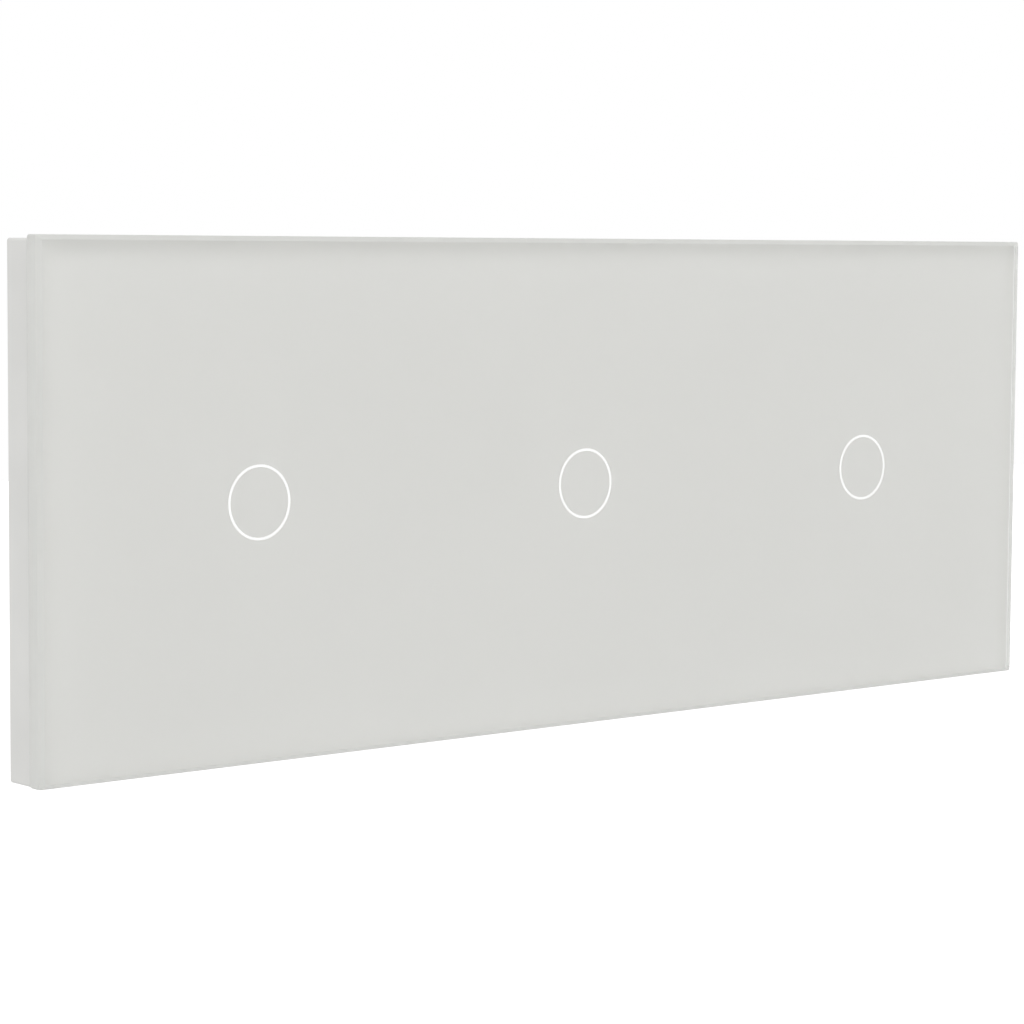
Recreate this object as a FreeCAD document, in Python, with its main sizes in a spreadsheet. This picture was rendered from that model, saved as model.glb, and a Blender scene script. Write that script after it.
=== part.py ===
import FreeCAD, Part
import os
import Sketcher
from types import SimpleNamespace

# Touch light switch for three wall boxes in a row, in millimetres.
# X runs along the panel, Z is up and -Y points out of the wall. The wall is at Y = 0, and the origin is the
# middle module's centre on it. "Forward" below is a distance from the wall towards the room, along -Y, and
# "deep" is one into the wall box, along +Y.

SIZES = {
    # The three wall boxes
    "module_pitch": 71.0,
    "box_screw_spacing": 60.0,
    # Glass panel
    "end_margin": 43.0,
    "panel_height": 86.0,
    "glass_thickness": 3.2,
    "glass_bevel": 0.8,
    "glass_corner": 0.4,
    "glass_rise": 0.25,
    # Paint on the back of the glass
    "print_thickness": 0.1,
    "print_margin": 0.3,
    "ring_radius": 6.0,
    "ring_line": 0.5,
    # Adhesive tape
    "tape_thickness": 0.2,
    "tape_margin": 0.8,
    # Moulded frame
    "frame_inset": 0.3,
    "frame_depth": 6.0,
    "frame_wall": 2.0,
    "frame_web": 1.5,
    "frame_corner": 0.5,
    "window_side": 57.0,
    "window_corner": 3.0,
    "collar_wall": 1.2,
    "rib_thickness": 1.6,
    "notch_width": 10.0,
    "notch_depth": 1.6,
    # Snap arms of the frame
    "snap_width": 7.0,
    "snap_thickness": 1.2,
    "snap_bead": 0.4,
    "snap_clearance": 0.1,
    # Mounting plate
    "plate_side": 70.6,
    "plate_thickness": 1.2,
    "plate_corner": 2.0,
    "plate_window_inset": 4.0,
    "plate_window_cut": 9.0,
    "box_slot_width": 4.2,
    "box_slot_length": 8.0,
    "flange_width": 16.0,
    "flange_rise": 3.0,
    "catch_width": 9.0,
    "catch_height": 1.3,
    # Sensor cover
    "cover_side": 54.0,
    "cover_wall": 1.3,
    "cover_corner": 3.0,
    "cover_edge": 0.8,
    "clip_width": 4.0,
    "clip_place": 8.0,
    "clip_hook": 0.5,
    "post_side": 2.4,
    "post_place": 12.5,
    "post_height": 0.8,
    # Touch board and what it carries
    "touch_board_side": 39.0,
    "touch_board_cut": 9.0,
    "touch_board_thickness": 1.2,
    "chip_width": 5.0,
    "chip_height": 6.0,
    "chip_thickness": 1.0,
    "led_width": 1.6,
    "led_depth": 1.0,
    "led_height": 0.6,
    "guide_wall": 1.8,
    "guide_proud": 0.2,
    "electrode_width": 5.0,
    "electrode_wall": 0.3,
    "connector_length": 12.7,
    "connector_width": 2.5,
    "connector_place": 14.0,
    # Base housing
    "housing_side": 48.0,
    "housing_cut": 9.0,
    "housing_depth": 25.0,
    "housing_wall": 1.6,
    "housing_floor": 1.6,
    "housing_draft": 1.0,
    "housing_edge": 1.5,
    "boss_inset": 6.5,
    "boss_side": 4.8,
    "boss_depth": 12.0,
    "rest_width": 2.0,
    "rest_length": 1.6,
    # Power board and its capacitors
    "power_board_set": 5.0,
    "power_board_thickness": 1.6,
    "film_width": 7.0,
    "film_length": 13.0,
    "film_height": 12.0,
    "film_edge": 1.0,
    "film_across": 3.5,
    "film_up": 4.0,
    "can_radius": 4.0,
    "can_height": 11.0,
    "can_inset": 7.3,
    "can_up": -3.0,
    # Housing screws
    "screw_head_radius": 2.3,
    "screw_head_height": 1.0,
    "screw_shank_radius": 1.1,
    "screw_length": 8.0,
    # Terminals
    "terminal_pitch": 8.0,
    "terminal_up": -15.0,
    "terminal_wall": 1.2,
    "clamp_height": 8.0,
    "clamp_depth": 7.0,
    "clamp_below": 4.8,
    "wire_radius": 1.9,
    "clamp_wall": 1.2,
    "clamp_floor": 2.8,
    "clamp_screw_radius": 1.25,
    "clamp_screw_length": 4.0,
    "driver_width": 3.8,
    # Relay
    "relay_width": 10.4,
    "relay_length": 20.0,
    "relay_height": 14.0,
    "relay_foot": 1.5,
    "relay_shell": 0.7,
    "relay_across": -10.0,
    "relay_up": 1.0,
    "coil_rise": 4.6,
    "coil_flange_side": 7.8,
    "coil_radius": 3.4,
    "coil_room": 10.5,
    "coil_flange": 0.8,
    "pole_side": 4.0,
    "pole_thickness": 0.5,
    "iron_thickness": 1.2,
    "iron_width": 7.0,
    "armature_gap": 0.65,
    "armature_play": 0.05,
    "contact_side": 2.0,
    "contact_height": 0.5,
    "contact_gap": 0.45,
    "contact_reach": 4.1,
    # Clearances
    "loose_gap": 0.3,
    "snug_gap": 0.1,
    "running_gap": 0.05,
}

ROOT_TWO = 1.41421356
QUARTER_TURN = 1.5707963


def as_size(other):
    """A number as a Size, so that both can be reckoned with."""
    if isinstance(other, Size):
        return other
    return Size(float(other), repr(float(other)))


class Size:
    """A length that holds its value and the sheet formula that it follows."""

    def __init__(self, value, formula):
        self.value = value
        self.formula = formula

    def __add__(self, other):
        other = as_size(other)
        return Size(self.value + other.value, f"({self.formula} + {other.formula})")

    def __radd__(self, other):
        return as_size(other) + self

    def __sub__(self, other):
        other = as_size(other)
        return Size(self.value - other.value, f"({self.formula} - {other.formula})")

    def __rsub__(self, other):
        return as_size(other) - self

    def __mul__(self, other):
        other = as_size(other)
        return Size(self.value * other.value, f"({self.formula} * {other.formula})")

    def __rmul__(self, other):
        return as_size(other) * self

    def __truediv__(self, other):
        other = as_size(other)
        return Size(self.value / other.value, f"({self.formula} / {other.formula})")

    def __neg__(self):
        return Size(-self.value, f"(-{self.formula})")


def make_sheet(doc):
    """The spreadsheet of driving dimensions: one row for each, its name beside its aliased value."""
    sheet = doc.addObject("Spreadsheet::Sheet", "Sizes")
    for row, (name, value) in enumerate(SIZES.items(), start=1):
        sheet.set(f"A{row}", name)
        sheet.set(f"B{row}", str(value))
        sheet.setAlias(f"B{row}", name)
    doc.recompute()


doc = FreeCAD.newDocument("touch_switch")
make_sheet(doc)
d = SimpleNamespace(**{name: Size(value, f"Sizes.{name}") for name, value in SIZES.items()})
parts = {}

# Lengths that follow from the driving ones
panel_length = 2 * d.module_pitch + 2 * d.end_margin
frame_length = panel_length - 2 * d.frame_inset
frame_height = d.panel_height - 2 * d.frame_inset
web_back = d.frame_depth - d.frame_web
glass_back = d.frame_depth + d.tape_thickness + d.print_thickness
print_back = d.frame_depth + d.tape_thickness
guide_front = print_back - d.loose_gap
cover_front = guide_front - d.guide_proud
cover_ceiling = cover_front - d.cover_wall
board_front = cover_ceiling - d.post_height
board_back = board_front - d.touch_board_thickness
boss_place = d.housing_side / 2 - d.boss_inset
board_half = (d.housing_side - 2 * d.housing_wall - 4 * d.loose_gap) / 2
can_across = board_half - d.can_inset
board_rear = d.power_board_set + d.power_board_thickness
housing_floor = d.housing_depth - d.housing_floor
clamp_half = (d.terminal_pitch - d.terminal_wall) / 2 - 2 * d.snug_gap
clamp_rear = housing_floor - 2 * d.snug_gap
clamp_front = clamp_rear - d.clamp_depth
clamp_bottom = d.terminal_up - d.clamp_below
clamp_screw_deep = clamp_rear - d.clamp_depth / 2
guide_inner = d.ring_radius - d.guide_wall / 2
guide_outer = d.ring_radius + d.guide_wall / 2
hole_radius = d.screw_shank_radius + d.loose_gap
foot_top = board_rear + d.relay_foot
coil_deep = foot_top + d.coil_rise
coil_bottom = d.relay_up - d.relay_length / 2 + d.relay_shell + d.loose_gap + d.iron_thickness
coil_length = d.relay_length - d.coil_room
coil_top = coil_bottom + coil_length
pole_face = coil_top + d.pole_thickness
armature_back = pole_face + d.armature_gap
yoke_low = coil_deep + d.coil_flange_side / 2 + d.snug_gap
yoke_high = yoke_low + d.iron_thickness
contact_up = armature_back + d.contact_reach
arm_low = yoke_high - 3 * d.iron_thickness / 4
clip_thickness = d.cover_wall - d.loose_gap
clip_middle = (d.cover_side - d.cover_wall) / 2
bead_rear = d.plate_thickness + 2 * d.loose_gap
flange_face = d.plate_side / 2
MODULES = (("left", -1), ("middle", 0), ("right", 1))


# Ways of drawing and building

def new_body(label):
    """An empty body for one sub-part."""
    body = doc.addObject("PartDesign::Body", label)
    body.Label = label
    return body


def keep(label, shape_object):
    """Enters a finished object as the sub-part of this name."""
    shape_object.Label = label
    parts[label] = shape_object
    return shape_object


def sketch_on(body, name, plane, out=None, across=None, up=None):
    """A sketch on one of the body's own planes, moved along the plane's normal and within it."""
    sketch = body.newObject("Sketcher::SketchObject", f"{body.Name}_{name}")
    origin_plane = next(item for item in body.Origin.OriginFeatures if item.Role == plane)
    sketch.AttachmentSupport = (origin_plane, [""])
    sketch.MapMode = "FlatFace"
    for axis, place in (("x", across), ("y", up), ("z", out)):
        if place is not None:
            sketch.setExpression(f".AttachmentOffset.Base.{axis}", place.formula)
    return sketch


def front_sketch(body, name, forward, across=None, up=None):
    """A sketch that faces the room, this far forward of the wall: its x is X and its y is Z."""
    return sketch_on(body, name, "XZ_Plane", as_size(forward), across, up)


def tie(sketch, kind, *places_and_size):
    """One constraint of a sketch, tied to a size."""
    *places, length = places_and_size
    index = sketch.addConstraint(Sketcher.Constraint(kind, *places, length.value))
    sketch.setExpression(f"Constraints[{index}]", length.formula)


def pin_point(sketch, shape, point, across, up):
    """Ties a point of the sketch to its place from the sketch's origin."""
    tie(sketch, "DistanceX", -1, 1, shape, point, as_size(across))
    tie(sketch, "DistanceY", -1, 1, shape, point, as_size(up))


def outline(sketch, corners):
    """A closed outline of straight lines through these (across, up) corners."""
    corners = [(as_size(across), as_size(up)) for across, up in corners]
    first = sketch.GeometryCount
    points = [FreeCAD.Vector(across.value, up.value, 0) for across, up in corners]
    for start, end in zip(points, points[1:] + points[:1]):
        sketch.addGeometry(Part.LineSegment(start, end), False)
    for i, (across, up) in enumerate(corners):
        before = first + (i - 1) % len(corners)
        sketch.addConstraint(Sketcher.Constraint("Coincident", before, 2, first + i, 1))
        pin_point(sketch, first + i, 1, across, up)
    return sketch


def rectangle(sketch, left, bottom, right, top):
    """A rectangle between these edges."""
    return outline(sketch, [(left, bottom), (right, bottom), (right, top), (left, top)])


def centred_rectangle(sketch, width, height, across=0, up=0):
    """A rectangle of this width and height about a point."""
    left = across - width / 2
    bottom = up - height / 2
    return rectangle(sketch, left, bottom, left + width, bottom + height)


def octagon(sketch, side, cut):
    """A square of this side with its corners cut off by this much, about the sketch's origin."""
    far = side / 2
    near = side / 2 - cut
    steps = ((far, -near), (far, near), (near, far), (-near, far))
    steps += ((-far, near), (-far, -near), (-near, -far), (near, -far))
    return outline(sketch, steps)


def circle(sketch, radius, across=0, up=0):
    """A circle of this radius about a point."""
    across = as_size(across)
    up = as_size(up)
    centre = FreeCAD.Vector(across.value, up.value, 0)
    index = sketch.addGeometry(Part.Circle(centre, FreeCAD.Vector(0, 0, 1), radius.value), False)
    tie(sketch, "Radius", index, radius)
    pin_point(sketch, index, 3, across, up)
    return sketch


def slot(sketch, length, width, across):
    """A round-ended slot along the sketch's x axis, its middle this far across."""
    radius = width / 2
    reach = length / 2 - radius
    first = sketch.GeometryCount
    up = FreeCAD.Vector(0, 0, 1)
    for side, start in ((1, -QUARTER_TURN), (-1, QUARTER_TURN)):
        centre = FreeCAD.Vector(across.value + side * reach.value, 0, 0)
        round_end = Part.Circle(centre, up, radius.value)
        arc = sketch.addGeometry(Part.ArcOfCircle(round_end, start, start + 2 * QUARTER_TURN), False)
        tie(sketch, "Radius", arc, radius)
        pin_point(sketch, arc, 3, across + side * reach, 0)
        sketch.addConstraint(Sketcher.Constraint("Vertical", arc, 3, arc, 1))
        sketch.addConstraint(Sketcher.Constraint("Vertical", arc, 3, arc, 2))
    for start, end in ((first, first + 1), (first + 1, first)):
        line = sketch.addGeometry(Part.LineSegment(
            sketch.getPoint(start, 2), sketch.getPoint(end, 1)), False)
        sketch.addConstraint(Sketcher.Constraint("Coincident", start, 2, line, 1))
        sketch.addConstraint(Sketcher.Constraint("Coincident", line, 2, end, 1))
    return sketch


def build(body, kind, name, profile=None, length=None, reverse=False):
    """One feature of a body, on a profile."""
    feature = body.newObject(f"PartDesign::{kind}", f"{body.Name}_{name}")
    if profile is not None:
        feature.Profile = profile
    if length is not None:
        feature.setExpression("Length", as_size(length).formula)
    if kind in ("Pad", "Pocket"):
        feature.Reversed = reverse
    body.Tip = feature
    return feature


def pad(body, name, profile, length, deep=False):
    """Adds material from the sketch towards the room, or deeper into the wall."""
    return build(body, "Pad", name, profile, length, deep)


def must_cut(body, feature, before):
    """Stops where a cut took nothing away."""
    doc.recompute()
    if not body.Shape.Volume < before - 1e-6:
        raise RuntimeError(f"{feature.Name} cuts nothing")
    return feature


def pocket(body, name, profile, length, forward=False):
    """Takes material away from the sketch deeper into the wall, or towards the room."""
    doc.recompute()
    before = body.Shape.Volume
    return must_cut(body, build(body, "Pocket", name, profile, length, forward), before)


def edges_where(shape, test):
    """The names of the edges that pass a test."""
    return [f"Edge{i}" for i, edge in enumerate(shape.Edges, start=1) if test(edge)]


def runs_along(edge, axis):
    """True for a straight edge along this axis."""
    if not isinstance(edge.Curve, (Part.Line, Part.LineSegment)):
        return False
    return abs(abs(edge.tangentAt(edge.FirstParameter).dot(axis)) - 1) < 1e-6


def dress(body, kind, name, test, size):
    """A fillet or chamfer on the edges of the body that pass a test."""
    doc.recompute()
    base = body.Tip
    names = edges_where(base.Shape, test)
    if not names:
        raise RuntimeError(f"{body.Name} {name} found no edge")
    feature = body.newObject(f"PartDesign::{kind}", f"{body.Name}_{name}")
    feature.Base = (base, names)
    feature.setExpression("Radius" if kind == "Fillet" else "Size", size.formula)
    body.Tip = feature
    return feature


ALONG_Y = FreeCAD.Vector(0, 1, 0)
# Turns a primitive's axis from Z to +Y, into the wall
FACING_DEEP = FreeCAD.Rotation(FreeCAD.Vector(1, 0, 0), -90)


def outer_corner(shape):
    """A test for the edges along Y at the four outer corners of a shape."""
    box = shape.BoundBox

    def test(edge):
        where = edge.CenterOfMass
        beside = min(abs(where.x - box.XMin), abs(where.x - box.XMax)) < 1e-4
        above = min(abs(where.z - box.ZMin), abs(where.z - box.ZMax)) < 1e-4
        return runs_along(edge, ALONG_Y) and beside and above
    return test


def round_corners(body, radius, kind="Fillet"):
    """Rounds or cuts off a body's four outer corners."""
    doc.recompute()
    return dress(body, kind, "corners", outer_corner(body.Shape), radius)


def front_rim(shape):
    """A test for the edges that lie in a shape's front plane."""
    front = shape.BoundBox.YMin
    return lambda edge: abs(edge.BoundBox.YMin - front) < 1e-4 and abs(edge.BoundBox.YMax - front) < 1e-4


def rear_rim(shape):
    """A test for the edges that lie in a shape's rear plane."""
    rear = shape.BoundBox.YMax
    return lambda edge: abs(edge.BoundBox.YMin - rear) < 1e-4 and abs(edge.BoundBox.YMax - rear) < 1e-4


def place(item, x, y, z):
    """Ties an object's place to the sizes."""
    for axis, length in (("x", x), ("y", y), ("z", z)):
        item.setExpression(f".Placement.Base.{axis}", as_size(length).formula)


def block(name, low, high):
    """A box between two corners, each (x, y, z)."""
    item = doc.addObject("Part::Box", name)
    for prop, start, end in zip(("Length", "Width", "Height"), low, high):
        item.setExpression(prop, (as_size(end) - start).formula)
    place(item, *low)
    return item


def rod(name, radius, length, x, y, z):
    """A cylinder from a point into the wall, along +Y."""
    item = doc.addObject("Part::Cylinder", name)
    item.setExpression("Radius", radius.formula)
    item.setExpression("Height", as_size(length).formula)
    item.Placement = FreeCAD.Placement(FreeCAD.Vector(), FACING_DEEP)
    place(item, x, y, z)
    return item


def fuse(name, items):
    """One solid of several that meet."""
    item = doc.addObject("Part::MultiFuse", name)
    item.Shapes = items
    item.Refine = True
    return item


def cut(name, base, tools):
    """A base with tools taken away."""
    item = doc.addObject("Part::Cut", name)
    item.Base = base
    item.Tool = tools[0] if len(tools) == 1 else fuse(f"{name}_tools", tools)
    return item


def group(name, items):
    """Separate solids that share a node."""
    item = doc.addObject("Part::Compound", name)
    item.Links = items
    return item


# Front panel

def glass_panel():
    """Toughened plate with ground corners and a bevel round its front, set a little high on the frame."""
    body = new_body("glass_panel")
    profile = front_sketch(body, "plan", glass_back, up=d.glass_rise)
    centred_rectangle(profile, panel_length, d.panel_height)
    pad(body, "plate", profile, d.glass_thickness)
    doc.recompute()
    dress(body, "Chamfer", "bevel", front_rim(body.Shape), d.glass_bevel)
    round_corners(body, d.glass_corner)
    return keep("glass_panel", body)


def back_print():
    """Paint film on the back of the glass, parted by three ring windows."""
    length = panel_length - 2 * d.print_margin
    half_height = d.panel_height / 2 - d.print_margin
    film = block("print_film", (-length / 2, -glass_back, d.glass_rise - half_height),
                 (length / 2, -print_back, d.glass_rise + half_height))
    rings = []
    for name, step in MODULES:
        outer = d.ring_radius + d.ring_line / 2
        inner = d.ring_radius - d.ring_line / 2
        where = (step * d.module_pitch, -glass_back, 0)
        disc = rod(f"{name}_ring_outer", outer, d.print_thickness, *where)
        centre = rod(f"{name}_ring_inner", inner, d.print_thickness, *where)
        rings.append(cut(f"{name}_ring", disc, [centre]))
    return keep("back_print", cut("back_print", film, rings))


def windows(sketch, side, thickness=None):
    """Three square windows, one before each module, or three square rings of this wall thickness."""
    for _, step in MODULES:
        centred_rectangle(sketch, side, side, step * d.module_pitch)
        if thickness is not None:
            outer = side + 2 * thickness
            centred_rectangle(sketch, outer, outer, step * d.module_pitch)
    return sketch


def bonding_tape():
    """Adhesive sheet between glass and frame, open where the modules look through."""
    body = new_body("bonding_tape")
    sketch = front_sketch(body, "plan", d.frame_depth)
    centred_rectangle(sketch, frame_length - 2 * d.tape_margin, frame_height - 2 * d.tape_margin)
    windows(sketch, d.window_side + 2 * d.tape_margin)
    pad(body, "sheet", sketch, d.tape_thickness)
    return keep("bonding_tape", body)


def frame_snap_arms(body):
    """Six springy arms behind the web, each with a bead that rides on a flange of the mounting plate."""
    tip = d.plate_thickness + d.loose_gap
    bead_low = flange_face + d.snap_clearance
    arm_low = bead_low + d.snap_bead
    arm_high = arm_low + d.snap_thickness
    arms = front_sketch(body, "arm_plan", tip)
    beads = front_sketch(body, "bead_plan", bead_rear)
    for _, step in MODULES:
        left = step * d.module_pitch - d.snap_width / 2
        right = left + d.snap_width
        for side in (1, -1):
            low, high = sorted((side * arm_low, side * arm_high), key=lambda size: size.value)
            rectangle(arms, left, low, right, high)
            low, high = sorted((side * bead_low, side * arm_low), key=lambda size: size.value)
            rectangle(beads, left, low, right, high)
    pad(body, "arms", arms, web_back - tip)
    pad(body, "beads", beads, d.catch_height)


def panel_frame():
    """Moulded tray behind the glass: walls, a front web with collared windows, ribs and snap arms."""
    body = new_body("panel_frame")
    pad(body, "block", centred_rectangle(front_sketch(body, "plan", 0), frame_length, frame_height),
        d.frame_depth)
    round_corners(body, d.frame_corner)
    inner_length = frame_length - 2 * d.frame_wall
    inner_height = frame_height - 2 * d.frame_wall
    pocket(body, "tray", centred_rectangle(front_sketch(body, "tray_plan", 0), inner_length, inner_height),
           web_back, forward=True)
    collar_back = d.plate_thickness + d.loose_gap
    collars = windows(front_sketch(body, "collar_plan", collar_back), d.window_side, d.collar_wall)
    pad(body, "collars", collars, web_back - collar_back)
    pocket(body, "windows", windows(front_sketch(body, "window_plan", d.frame_depth), d.window_side),
           d.frame_web)
    ribs = front_sketch(body, "rib_plan", collar_back)
    for side in (1, -1):
        centred_rectangle(ribs, d.rib_thickness, inner_height, side * d.module_pitch / 2)
    pad(body, "ribs", ribs, web_back - collar_back)
    frame_snap_arms(body)
    notch = front_sketch(body, "notch_plan", 0)
    rectangle(notch, -d.notch_width / 2, -frame_height / 2, d.notch_width / 2,
              d.frame_wall - frame_height / 2)
    pocket(body, "notch", notch, d.notch_depth, forward=True)
    doc.recompute()
    dress(body, "Chamfer", "window_corners", window_corner_test(), d.window_corner)
    return keep("panel_frame", body)


def window_corner_test():
    """A test for the corner edges of the three windows, which run along Y through the web."""
    half = d.window_side.value / 2
    centres = [step * d.module_pitch.value for _, step in MODULES]

    def test(edge):
        where = edge.CenterOfMass
        beside = min(abs(abs(where.x - centre) - half) for centre in centres) < 1e-4
        return runs_along(edge, ALONG_Y) and beside and abs(abs(where.z) - half) < 1e-4
    return test


# Pieces of one module, built once in the middle

def mounting_plate():
    """Steel plate on the wall box: slotted box screw holes, window for the housing and two bent flanges."""
    body = new_body("middle_mounting_plate")
    pad(body, "plate", centred_rectangle(front_sketch(body, "plan", 0), d.plate_side, d.plate_side),
        d.plate_thickness)
    round_corners(body, d.plate_corner, "Chamfer")
    window = d.housing_side - 2 * d.plate_window_inset
    pocket(body, "window", octagon(front_sketch(body, "window_plan", d.plate_thickness), window,
                                   d.plate_window_cut), d.plate_thickness)
    slot_plan = front_sketch(body, "slot_plan", d.plate_thickness)
    slot(slot_plan, d.box_slot_length, d.box_slot_width, d.box_screw_spacing / 2)
    first_slot = pocket(body, "slot", slot_plan, d.plate_thickness)
    pattern = body.newObject("PartDesign::PolarPattern", "middle_mounting_plate_slots")
    pattern.Originals = [first_slot]
    pattern.Axis = (slot_plan, ["N_Axis"])
    pattern.Angle = 360.0
    pattern.Occurrences = 2
    body.Tip = pattern
    holes = front_sketch(body, "hole_plan", d.plate_thickness)
    for side in (1, -1):
        circle(holes, hole_radius, side * boss_place, side * boss_place)
        for end in (1, -1):
            centred_rectangle(holes, clip_thickness + 2 * d.snug_gap, d.clip_width + 2 * d.loose_gap,
                              side * clip_middle, end * d.clip_place)
    pocket(body, "holes", holes, d.plate_thickness)
    flanges = front_sketch(body, "flange_plan", d.plate_thickness)
    for side in (1, -1):
        centred_rectangle(flanges, d.flange_width, d.plate_thickness, 0,
                          side * (d.plate_side - d.plate_thickness) / 2)
    pad(body, "flanges", flanges, d.flange_rise)
    catch_low = bead_rear - d.snug_gap
    catch_high = bead_rear + d.catch_height + d.snug_gap
    for name, height in (("top", flange_face), ("bottom", d.plate_thickness - flange_face)):
        catch = sketch_on(body, f"{name}_catch_plan", "XY_Plane", height)
        rectangle(catch, -d.catch_width / 2, -catch_high, d.catch_width / 2, -catch_low)
        pocket(body, f"{name}_catch", catch, d.plate_thickness)
    return keep("middle_mounting_plate", body)


def sensor_cover():
    """Shallow cover with cut corners over the touch board: a hole for the light guide, posts and clips."""
    body = new_body("middle_sensor_cover")
    pad(body, "block", centred_rectangle(front_sketch(body, "plan", d.plate_thickness), d.cover_side,
                                         d.cover_side), cover_front - d.plate_thickness)
    round_corners(body, d.cover_corner, "Chamfer")
    doc.recompute()
    dress(body, "Chamfer", "front_edge", front_rim(body.Shape), d.cover_edge)
    inner = d.cover_side - 2 * d.cover_wall
    hollow = front_sketch(body, "hollow_plan", d.plate_thickness)
    pocket(body, "hollow", octagon(hollow, inner, d.cover_corner), cover_ceiling - d.plate_thickness,
           forward=True)
    hole = circle(front_sketch(body, "hole_plan", cover_front), guide_outer + d.loose_gap)
    pocket(body, "hole", hole, d.cover_wall)
    posts = front_sketch(body, "post_plan", board_front)
    clips = front_sketch(body, "clip_plan", d.plate_thickness)
    for side in (1, -1):
        for end in (1, -1):
            centred_rectangle(posts, d.post_side, d.post_side, side * d.post_place, end * d.post_place)
            centred_rectangle(clips, clip_thickness, d.clip_width, side * clip_middle, end * d.clip_place)
    pad(body, "posts", posts, d.post_height)
    pad(body, "clips", clips, d.plate_thickness + d.snug_gap + d.clip_hook, deep=True)
    hooks = front_sketch(body, "hook_plan", -d.snug_gap)
    for side in (1, -1):
        for end in (1, -1):
            centred_rectangle(hooks, clip_thickness + d.clip_hook, d.clip_width,
                              side * (clip_middle + d.clip_hook / 2), end * d.clip_place)
    pad(body, "hooks", hooks, d.clip_hook, deep=True)
    return keep("middle_sensor_cover", body)


def light_guide():
    """Clear ring, faceted inside, that stands on the board round the electrode behind the ring window."""
    body = new_body("middle_light_guide")
    sketch = front_sketch(body, "section", board_front)
    circle(sketch, guide_outer)
    octagon(sketch, 2 * guide_inner, guide_inner * (2 - ROOT_TWO))
    pad(body, "ring", sketch, guide_front - board_front)
    return keep("middle_light_guide", body)


def touch_electrode():
    """Sprung metal strip, bent twice, that stands on the board within the light guide."""
    body = new_body("middle_touch_electrode")
    half = d.electrode_width / 2
    sketch = sketch_on(body, "section", "XY_Plane", -half)
    inner = half - d.electrode_wall
    under = guide_front - d.electrode_wall
    outline(sketch, [
        (-half, -board_front), (-half, -guide_front), (half, -guide_front), (half, -board_front),
        (inner, -board_front), (inner, -under), (-inner, -under), (-inner, -board_front)])
    pad(body, "strip", sketch, d.electrode_width)
    return keep("middle_touch_electrode", body)


def touch_board():
    """Eight-sided board that rests against the posts of the sensor cover."""
    body = new_body("middle_touch_board")
    plan = octagon(front_sketch(body, "plan", board_back), d.touch_board_side, d.touch_board_cut)
    pad(body, "board", plan, d.touch_board_thickness)
    return keep("middle_touch_board", body)


def touch_chip():
    """Sensing chip on the back of the touch board."""
    body = new_body("middle_touch_chip")
    plan = centred_rectangle(front_sketch(body, "plan", board_back), d.chip_width, d.chip_height)
    pad(body, "chip", plan, d.chip_thickness, deep=True)
    return keep("middle_touch_chip", body)


def board_connector():
    """Pin strip that joins the touch board to the power board, with a collar at each end."""
    half = d.connector_length / 2
    low = d.connector_place - d.connector_width / 2
    high = low + d.connector_width
    collar = d.connector_width / 2
    core = block("middle_connector_core", (collar / 2 - half, -board_back, low + collar / 2),
                 (half - collar / 2, d.power_board_set, high - collar / 2))
    front = block("middle_connector_front", (-half, -board_back, low), (half, collar - board_back, high))
    rear = block("middle_connector_rear", (-half, d.power_board_set - collar, low),
                 (half, d.power_board_set, high))
    return keep("middle_board_connector", fuse("middle_board_connector", [core, front, rear]))


def base_housing():
    """Eight-sided moulded cup with draft, screw bosses, board rests, terminal walls and wire entries."""
    body = new_body("middle_base_housing")
    shell = pad(body, "shell", octagon(front_sketch(body, "plan", 0), d.housing_side, d.housing_cut),
                d.housing_depth, deep=True)
    shell.setExpression("TaperAngle", (-d.housing_draft).formula)
    doc.recompute()
    dress(body, "Chamfer", "rear_edge", rear_rim(body.Shape), d.housing_edge)
    inner_cut = d.housing_cut - d.housing_wall * (2 - ROOT_TWO)
    hollow = pocket(body, "hollow", octagon(front_sketch(body, "hollow_plan", 0),
                                            d.housing_side - 2 * d.housing_wall, inner_cut), housing_floor)
    hollow.setExpression("TaperAngle", (-d.housing_draft).formula)
    housing_bosses(body)
    housing_walls(body)
    housing_holes(body)
    return keep("middle_base_housing", body)


def housing_bosses(body):
    """Two blocks in opposite corners with pilot holes for the screws that hold the plate."""
    bosses = front_sketch(body, "boss_plan", 0)
    pilots = front_sketch(body, "pilot_plan", 0)
    pilot = 2 * (d.screw_shank_radius + d.running_gap)
    for side in (1, -1):
        corner = d.housing_side - d.housing_cut - ROOT_TWO * d.housing_wall / 2
        near = side * (boss_place - d.boss_side / 2)
        far = side * (corner - boss_place + d.boss_side / 2)
        outline(bosses, [(near, near), (far, near), (near, far)])
        centred_rectangle(pilots, pilot, pilot, side * boss_place, side * boss_place)
    pad(body, "bosses", bosses, d.boss_depth, deep=True)
    pocket(body, "pilots", pilots, d.screw_length)


def housing_walls(body):
    """Rests behind the power board and walls between the terminals, up from the floor to the board."""
    inner = d.housing_side / 2 - d.housing_wall
    into_wall = inner + d.housing_wall / 4
    walls = front_sketch(body, "wall_plan", -board_rear)
    for side in (1, -1):
        low, high = sorted((side * (inner - d.rest_length), side * inner), key=lambda size: size.value)
        rectangle(walls, low, -d.rest_width / 2, high, d.rest_width / 2)
    rectangle(walls, -d.rest_width / 2, inner - d.rest_length, d.rest_width / 2, inner)
    for step in (-3, -1, 1, 3):
        across = step * d.terminal_pitch / 2
        rectangle(walls, across - d.terminal_wall / 2, -into_wall, across + d.terminal_wall / 2,
                  clamp_bottom + d.clamp_height)
    pad(body, "walls", walls, housing_floor - board_rear, deep=True)


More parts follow.
